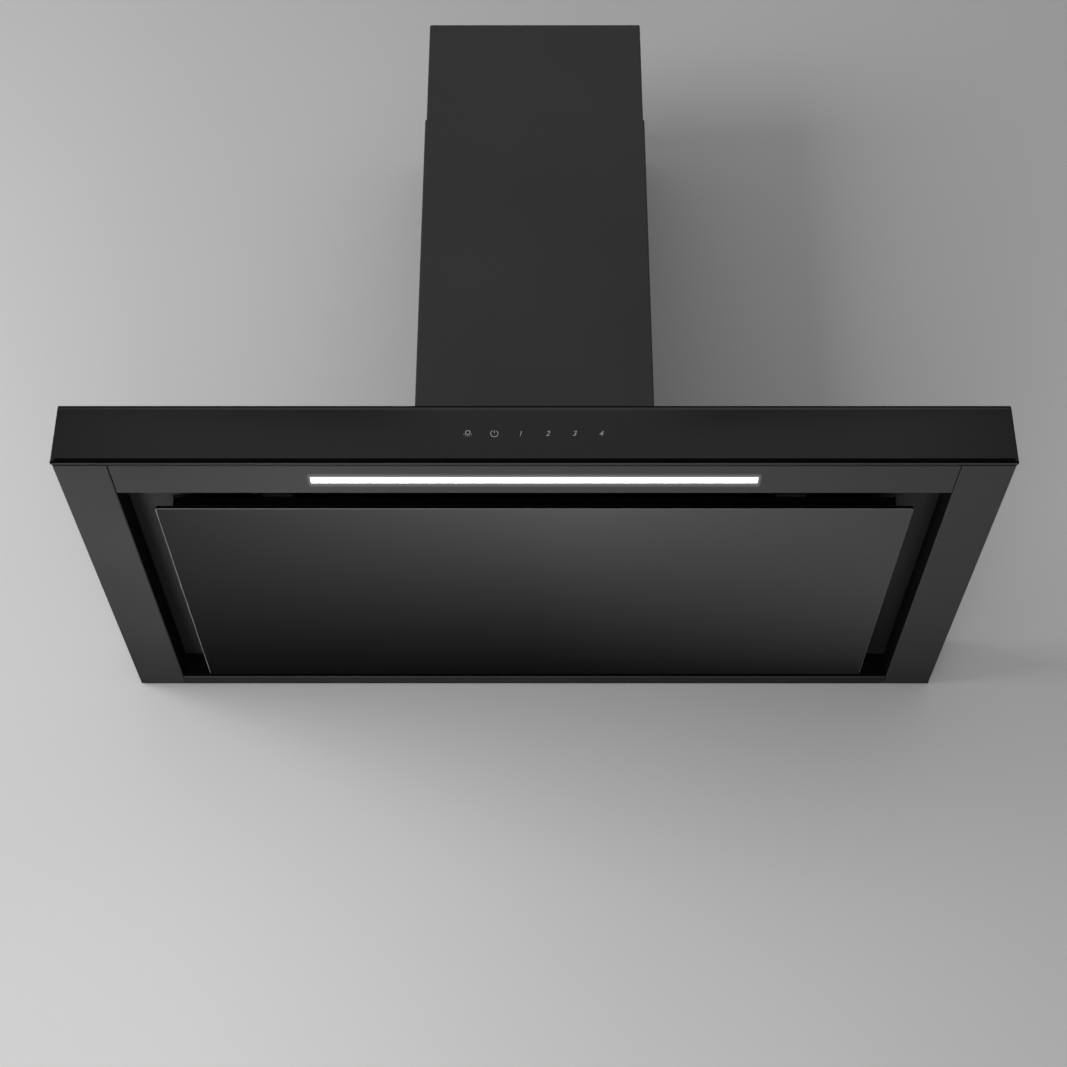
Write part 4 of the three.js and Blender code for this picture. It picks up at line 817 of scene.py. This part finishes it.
lens_play, lens_flange = 0.3, 1.2        # lens to its slot, and the flange that rests in the rail
lens_end = slot_end - lens_play
lens_front, lens_rear = slot_front + lens_play, slot_rear - lens_play
flange_foot = lamp_high.z - lens_flange
diffuser = block("diffuser_lens", (lamp_low.x, lamp_low.y, flange_foot), lamp_high)
with editing(diffuser):
    split((0, lens_front, 0), (0, -1, 0))
    split((0, lens_rear, 0), (0, 1, 0))
    split((-lens_end, 0, 0), (-1, 0, 0))
    split((lens_end, 0, 0), (1, 0, 0))
    pick_faces(diffuser, lambda spot, face: face.z < -0.9 and lens_front < spot.y < lens_rear
               and abs(spot.x) < lens_end)
    drop = (0, 0, (lamp_low.z - flange_foot) * MM)
    bpy.ops.mesh.extrude_region_move(TRANSFORM_OT_translate={"value": drop})
stands_for(eased(diffuser, 0.5, 60, 2), "light_diffuser")

# ---------------------------- perimeter panel

corner_radius, arris = 3, 0.6
panel = block("panel_plate", *corners("panel_glass"))
with editing(panel, "EDGE"):
    pick_edges(panel, lambda spot, run: abs(run.z) > 0.9)
    bpy.ops.mesh.bevel(offset=corner_radius * MM, segments=6, affect="EDGES")
    pick_edges(panel, lambda spot, run: abs(run.z) < 0.1)
    bpy.ops.mesh.bevel(offset=arris * MM, segments=1, affect="EDGES")
dress(panel, finishes["panel_glass"])
# The panel's upright edges are drawn near black.
dress_faces(panel, shade_edge, lambda spot, face: abs(face.z) < 0.2)
# Painted highlight: the arrises are paler on the sides than on the ends.
dress_faces(panel, side_highlight_arris, lambda spot, face: 0.2 < abs(face.z) < 0.95 and abs(face.x) > 0.6)
dress_faces(panel, end_highlight_arris, lambda spot, face: 0.2 < abs(face.z) < 0.95 and abs(face.x) <= 0.6)
stands_for(smooth(panel, 30), "panel_glass")

low, high = corners("striker_right")
strike = folded("striker_right_sheet", "X", (low.x, high.x),
                [(high.y, low.z), (high.y, high.z), (low.y, high.z), (low.y, low.z)])
stands_for(mirrored(eased(strike), "striker_left_sheet"), "striker_left")
stands_for(strike, "striker_right")

# ---------------------------- duct covers


def cover_sheet(name, node, returns=15):
    """A duct cover folded round three sides, with its returns at the wall."""
    low, high = corners(node)
    return folded(name, "Z", (low.z, high.z),
                  [(low.x + returns, high.y), (low.x, high.y), (low.x, low.y), (high.x, low.y),
                   (high.x, high.y), (high.x - returns, high.y)], bend=2.4)


stands_for(eased(cover_sheet("lower_cover_sheet", "lower_duct_cover")), "lower_duct_cover")

low, high = corners("upper_duct_cover")
cover_side, vent_middle = high.x, (low.y + high.y) / 2
vent_top, vent_pitch, vent_height, vent_length = high.z - 30, 10, 4, 110
duct_screw_height, duct_screw_rows, duct_screw_hole = high.z - 18.3, (-15, -30), 3.3
upper = cover_sheet("upper_cover_sheet", "upper_duct_cover")
for i in range(6):
    above = vent_top - i * vent_pitch
    cut_out(upper, cutter((low.x - PAST, vent_middle - vent_length / 2, above - vent_height),
                          (high.x + PAST, vent_middle + vent_length / 2, above), "X", 1.9))
cut_out(upper, *[rod("cutter", (side * (cover_side - SHEET - PAST), y, duct_screw_height),
                     (side, 0, 0), SHEET + 2 * PAST, duct_screw_hole)
                 for side in (-1, 1) for y in duct_screw_rows])
stands_for(eased(upper), "upper_duct_cover")

low, high = corners("upper_wall_bracket")
step_side, step_back = high.x - 16.5, high.y - 3     # where it steps round the cover's returns
bracket = folded("wall_bracket_sheet", "Z", (low.z, high.z),
                 [(high.x, low.y), (high.x, step_back), (step_side, step_back),
                  (step_side, high.y), (-step_side, high.y), (-step_side, step_back),
                  (low.x, step_back), (low.x, low.y)])
stands_for(eased(bracket), "upper_wall_bracket")

# ---------------------------- air box and hanging plate


def angle_sheet(name, node):
    """A sheet with one fold along its foot."""
    low, high = corners(node)
    return folded(name, "X", (low.x, high.x), [(low.y, low.z), (high.y, low.z), (high.y, high.z)])


stands_for(eased(angle_sheet("air_box_cover_sheet", "air_box_cover")), "air_box_cover")

hanger = angle_sheet("hanging_plate_sheet", "hanging_plate")
slot_spread, slot_radius = 78, 6
high = corners("hanging_plate")[1]
slot_top = high.z - 2 * slot_radius
cut_out(hanger, *[cutter((x - 2 * slot_radius, high.y - 2 * PAST, slot_top - 2 * slot_radius),
                         (x + 2 * slot_radius, high.y + 2 * PAST, slot_top), "Y",
                         slot_radius - 0.05) for x in (-slot_spread, slot_spread)])
stands_for(eased(hanger), "hanging_plate")

# ---------------------------- filter nets


def filter_net(name, node):
    """Expanded metal under a filter's pleats: a net of diamonds, with room for the latch."""
    diamonds, long_way, squash, strand = 72, 10, 0.6, 0.5
    latch_side, latch_room = 33.6, 31.5
    low, high = (Vector(corner) for corner in corners(node))
    middle = (low + high) / 2
    middle.z = low.z - 0.15
    mesh_size = diamonds * 0.707 * long_way
    bpy.ops.mesh.primitive_grid_add(x_subdivisions=diamonds, y_subdivisions=diamonds, size=1)
    net = placed(name, Matrix.Translation(middle * MM) @ Matrix.Diagonal((1, squash, 1, 1))
                 @ Matrix.Rotation(math.radians(45), 4, "Z") @ Matrix.Scale(mesh_size * MM, 4))
    with editing(net):
        split(high, (1, 0, 0), clear_outer=True)
        split(low, (-1, 0, 0), clear_outer=True)
        split(high, (0, 1, 0), clear_outer=True)
        split(low, (0, -1, 0), clear_outer=True)
        pick_faces(net, lambda spot, _: abs(spot.x - middle.x) < latch_side
                   and spot.y < low.y + latch_room)
        bpy.ops.mesh.delete(type="FACE")
    return shaped(net, "WIREFRAME", thickness=strand * MM, use_even_offset=False)


for word in ("left", "right"):
    net = filter_net(f"filter_net_{word}", f"filter_mesh_{word}")
    dress(net, finishes["black_aluminium"])
    fitted(smooth(net), f"filter_mesh_{word}")

# ---------------------------- screws


def cross_head(radius, height):
    """A pan head with a cross recess, standing on the origin."""
    recess, arm, thick = 0.45 * height, 0.58 * radius, 0.14 * radius
    head = rod("screw_head", (0, 0, 0), UP, height, radius)
    with editing(head, "EDGE"):
        pick_edges(head, lambda spot, run: spot.z > height - 0.01)
        bpy.ops.mesh.bevel(offset=0.45 * height * MM, segments=3, affect="EDGES")
    for wide, deep in ((arm, thick), (thick, arm)):
        cut_out(head, block("cutter", (-wide, -deep, recess), (wide, deep, 2 * height)))
    return smooth(head)


def screwed(name, node, heads, slot="nickel_steel", radius=3.6, height=2.2):
    """Cross-head screws that hold a node: each is a place in mm and the way its head faces.

    Each recess is turned further than the last one, as screws by hand end up.
    """
    first_turn, next_turn = 20, 37
    head = cross_head(radius, height)
    copies = [copy_of(head, f"{name}_{i}", Matrix.Translation(Vector(spot) * MM) @ turned_to(way)
                      @ Matrix.Rotation(math.radians(first_turn + next_turn * i), 4, "Z"))
              for i, (spot, way) in enumerate(heads)]
    bpy.data.objects.remove(head)
    fitted(joined(name, copies), node, slot)


for side, word in ((-1, "left"), (1, "right")):
    node = f"hinge_leaf_{word}"
    low, middle = corners(node)[0], middle_of(node)
    screwed(f"leaf_screws_{word}", node,
            [((middle.x + x, low.y + 8, low.z + 1.5), UP) for x in (-14, 14)])
    node = f"hinge_bracket_{word}"
    (low, high), middle = corners(node), middle_of(node)
    screwed(f"bracket_screws_{word}", node,
            [((middle.x + x, low.y + 8, high.z - 1.5), DOWN) for x in (-15, 15)])
    node = f"magnetic_catch_{word}"
    high, middle = corners(node)[1], middle_of(node)
    screwed(f"catch_screws_{word}", node,
            [((middle.x + x, middle.y, high.z - 2), DOWN) for x in (-19.5, 19.5)],
            radius=2.6, height=1.6)
    screwed(f"duct_screws_{word}", "upper_duct_cover",
            [((side * (cover_side - 1.4), y, duct_screw_height), (side, 0, 0))
             for y in duct_screw_rows], slot="cover_steel", radius=3.2, height=1.3)
column, heights = air_box_side - 8, (45, 150, 265)
screwed("air_box_screws", "air_box_cover",
        [((x, air_box_front, z), FRONT) for x in (-column, column) for z in heights])
low, high = corners("air_box")
row, depths = high.x - 3.4, (-60, -190)
screwed("air_box_foot_screws", "air_box",
        [((x, y, low.z + SHEET), UP) for x in (-row, row) for y in depths], radius=2.8, height=1.8)
low, high = corners("outlet_collar")
middle, circle = middle_of("outlet_collar"), high.x - 6.5
screwed("collar_screws", "outlet_collar",
        [((circle * math.cos(turn), middle.y + circle * math.sin(turn), low.z + 2), UP)
         for turn in [math.radians(45 * i) for i in range(8)]], radius=2.8, height=1.8)

# ---------------------------- the other nodes

# Width in mm that is taken off their edges. The rest only have their facets merged.
eased_nodes = {
    "panel_pan": 0.3, "air_box": 0.3, "light_channel": 0.2, "led_driver": 0.8, "control_box": 0.8,
    "touch_board_cover": 0.4, "magnetic_catch": 0.4, "filter_frame": 0.25, "filter_latch": 0.25,
    "hinge_leaf": 0.2, "hinge_bracket": 0.3,
}
for node in sorted(frame["nodes"]):
    if node not in dressed:
        kind = node.removesuffix("_left").removesuffix("_right")
        piece = softened(node, eased_nodes.get(kind, 0))
        # Painted shade: the panel's pan, which sits in shade, is drawn near black.
        dress(piece, deep_shade_coat if node == "panel_pan" else finishes[slot_of[node]])
        stands_for(piece, node)

# ---------------------------- studio, in metres


def plain_paint(name, colour):
    """Matt emulsion paint on a smooth board: an even pale surface that takes soft shadows.

    From behind, the board is clear, so that it hides nothing from a camera there.
    """
    material, tree, shader = finish(name, colour, 0.9, Specular_IOR_Level=0.1)
    patterned(tree, shader, colour, shade=patches(tree, 400, 0.98, 1.02))
    surface = add(tree, "ShaderNodeNewGeometry")
    clear = add(tree, "ShaderNodeBsdfTransparent")
    seen = add(tree, "ShaderNodeMixShader", {
        "Fac": surface.outputs["Backfacing"], 1: shader.outputs["BSDF"], 2: clear.outputs["BSDF"]})
    tree.links.new(seen.outputs["Shader"], tree.nodes["Material Output"].inputs["Surface"])
    return material, tree, shader, surface, seen


def board(name, place, size, tilt=0):
    """A flat board, tilted about x by an angle in degrees."""
    bpy.ops.mesh.primitive_plane_add(size=1)
    piece = placed(name, Matrix.Translation(place)
                   @ Matrix.Rotation(math.radians(tilt), 4, "X") @ Matrix.Diagonal((*size, 1, 1)))
    return piece


floor = board("studio_floor", (0, -2, -2.4), (16, 16))
dress(floor, plain_paint("pale_floor", "#d8d8d8")[0])

wall = board("studio_wall", (0, 0.002, 1.6), (9, 8), tilt=90)
wall.visible_diffuse = False
wall.visible_shadow = False
paint, tree, shader, surface, seen = plain_paint("pale_wall", "#a8a8a8")
dress(wall, paint)

# What glossy faces mirror of the wall is a painted reflection, an emission that only glossy rays
# see: brightest below the middle of the hood, with painted shade just under it. It grows from the
# underside down. A grade across it has a place in metres and a strength at each end.
underside_height, full_height = -0.03, -0.26
spot = add(tree, "ShaderNodeSeparateXYZ", {"Vector": surface.outputs["Position"]})
down = add(tree, "ShaderNodeMapRange", {
    "Value": spot.outputs["Z"], "From Min": underside_height,
    "From Max": full_height}).outputs["Result"]
across = {}
for part, (start, low, end, high) in {"left": (-0.45, 0.30, 0.03, 0.91),
                                      "right": (0.08, 0.90, 0.45, 0.58),
                                      "bounce": (0.0, 0.22, 0.4, 1.08)}.items():
    across[part] = add(tree, "ShaderNodeMapRange", {
        "Value": spot.outputs["X"], "From Min": start, "From Max": end, "To Min": low,
        "To Max": high}).outputs["Result"]
steep = add(tree, "ShaderNodeMath", {0: down, 1: down}, operation="MULTIPLY")
level = add(tree, "ShaderNodeMath", {0: across["left"], 1: across["right"]}, operation="MINIMUM")
lit = add(tree, "ShaderNodeMath", {0: level.outputs[0], 1: steep.outputs[0]}, operation="MULTIPLY")
gentle = add(tree, "ShaderNodeMath", {0: down, 1: steep.outputs[0]}, operation="SUBTRACT")
bounce = add(tree, "ShaderNodeMath", {
    0: across["bounce"], 1: gentle.outputs[0]}, operation="MULTIPLY")
glow = add(tree, "ShaderNodeMath", {0: lit.outputs[0], 1: bounce.outputs[0]}, operation="ADD")
above = add(tree, "ShaderNodeMapRange", {
    "Value": spot.outputs["Z"], "From Min": underside_height, "From Max": 0.2, "To Min": 0.0,
    "To Max": 0.45})
glow = add(tree, "ShaderNodeMath", {
    0: glow.outputs[0], 1: above.outputs["Result"]}, operation="MAXIMUM")
painted_mirror_view = add(tree, "ShaderNodeEmission", {"Strength": glow.outputs[0]})
path = add(tree, "ShaderNodeLightPath")
front_view = add(tree, "ShaderNodeMixShader", {
    "Fac": path.outputs["Is Glossy Ray"], 1: shader.outputs["BSDF"],
    2: painted_mirror_view.outputs["Emission"]})
tree.links.new(front_view.outputs["Shader"], seen.inputs[1])

# The room in front: a soft box that fills it, plain to the camera and mirrored with a darker
# batten across it. Diffuse faces get less of its light.
plain_strength, diffuse_strength = 0.81, 0.65
batten_height, batten_dark = 0.556, 0.34
world = bpy.data.worlds.new("soft_studio")
bpy.context.scene.world = world
world.use_nodes = True
tree = world.node_tree
path = add(tree, "ShaderNodeLightPath")
shown = add(tree, "ShaderNodeMath", {
    0: path.outputs["Is Camera Ray"], 1: path.outputs["Is Transmission Ray"]}, operation="MAXIMUM")
shown = add(tree, "ShaderNodeMath", {
    0: shown.outputs[0], 1: path.outputs["Is Glossy Ray"]}, operation="MAXIMUM")
way = add(tree, "ShaderNodeSeparateXYZ", {
    "Vector": add(tree, "ShaderNodeTexCoord").outputs["Generated"]})
aside = add(tree, "ShaderNodeMath", {0: way.outputs["X"]}, operation="ABSOLUTE")
soft_box = add(tree, "ShaderNodeMapRange", {
    "Value": aside.outputs[0], "From Min": 0.17, "From Max": 0.26, "To Min": plain_strength,
    "To Max": 0.5}, interpolation_type="SMOOTHSTEP")
height = add(tree, "ShaderNodeMath", {0: way.outputs["Z"], 1: batten_height}, operation="SUBTRACT")
height = add(tree, "ShaderNodeMath", {0: height.outputs[0]}, operation="ABSOLUTE")
batten = add(tree, "ShaderNodeMapRange", {
    "Value": height.outputs[0], "From Min": 0.011, "From Max": 0.024, "To Min": batten_dark,
    "To Max": 0.0}, interpolation_type="SMOOTHSTEP")
open_middle = add(tree, "ShaderNodeMapRange", {
    "Value": aside.outputs[0], "From Min": 0.045, "From Max": 0.1},
    interpolation_type="SMOOTHSTEP")
batten = add(tree, "ShaderNodeMath", {
    0: batten.outputs["Result"], 1: open_middle.outputs["Result"]}, operation="MULTIPLY")
soft_box = add(tree, "ShaderNodeMath", {
    0: soft_box.outputs["Result"], 1: batten.outputs[0]}, operation="SUBTRACT")
mirrored_room = add(tree, "ShaderNodeMix", {
    "Factor": path.outputs["Is Glossy Ray"], "A": plain_strength, "B": soft_box.outputs[0]})
strength = add(tree, "ShaderNodeMapRange", {
    "Value": shown.outputs[0], "To Min": diffuse_strength,
    "To Max": mirrored_room.outputs["Result"]})
tree.links.new(strength.outputs["Result"], tree.nodes["Background"].inputs["Strength"])
tree.nodes["Background"].inputs["Color"].default_value = linear("#ffffff")


def soft_light(name, place, target, size, watts, spread=180):
    """A square soft box that points at a target, with its spread in degrees."""
    bpy.ops.object.light_add(type="AREA")
    lamp = bpy.context.active_object
    lamp.name = name
    lamp.data.size = size
    lamp.data.energy = watts
    lamp.data.spread = math.radians(spread)
    lamp.location = place
    aim = Vector(target) - Vector(place)
    lamp.rotation_euler = aim.to_track_quat("-Z", "Y").to_euler()
    lamp.visible_camera = False
    lamp.visible_glossy = False


soft_light("key_light", (-1.5, -1.4, 0.1), (-0.2, 0, 0.25), 0.9, 30)
soft_light("low_light", (-0.1, -0.9, -1.1), (0, 0, -0.7), 0.6, 6.5)
soft_light("under_light", (-0.75, -0.12, -0.75), (-0.1, -0.4, -0.03), 0.4, 4, spread=70)

bpy.context.scene.view_settings.view_transform = "Standard"
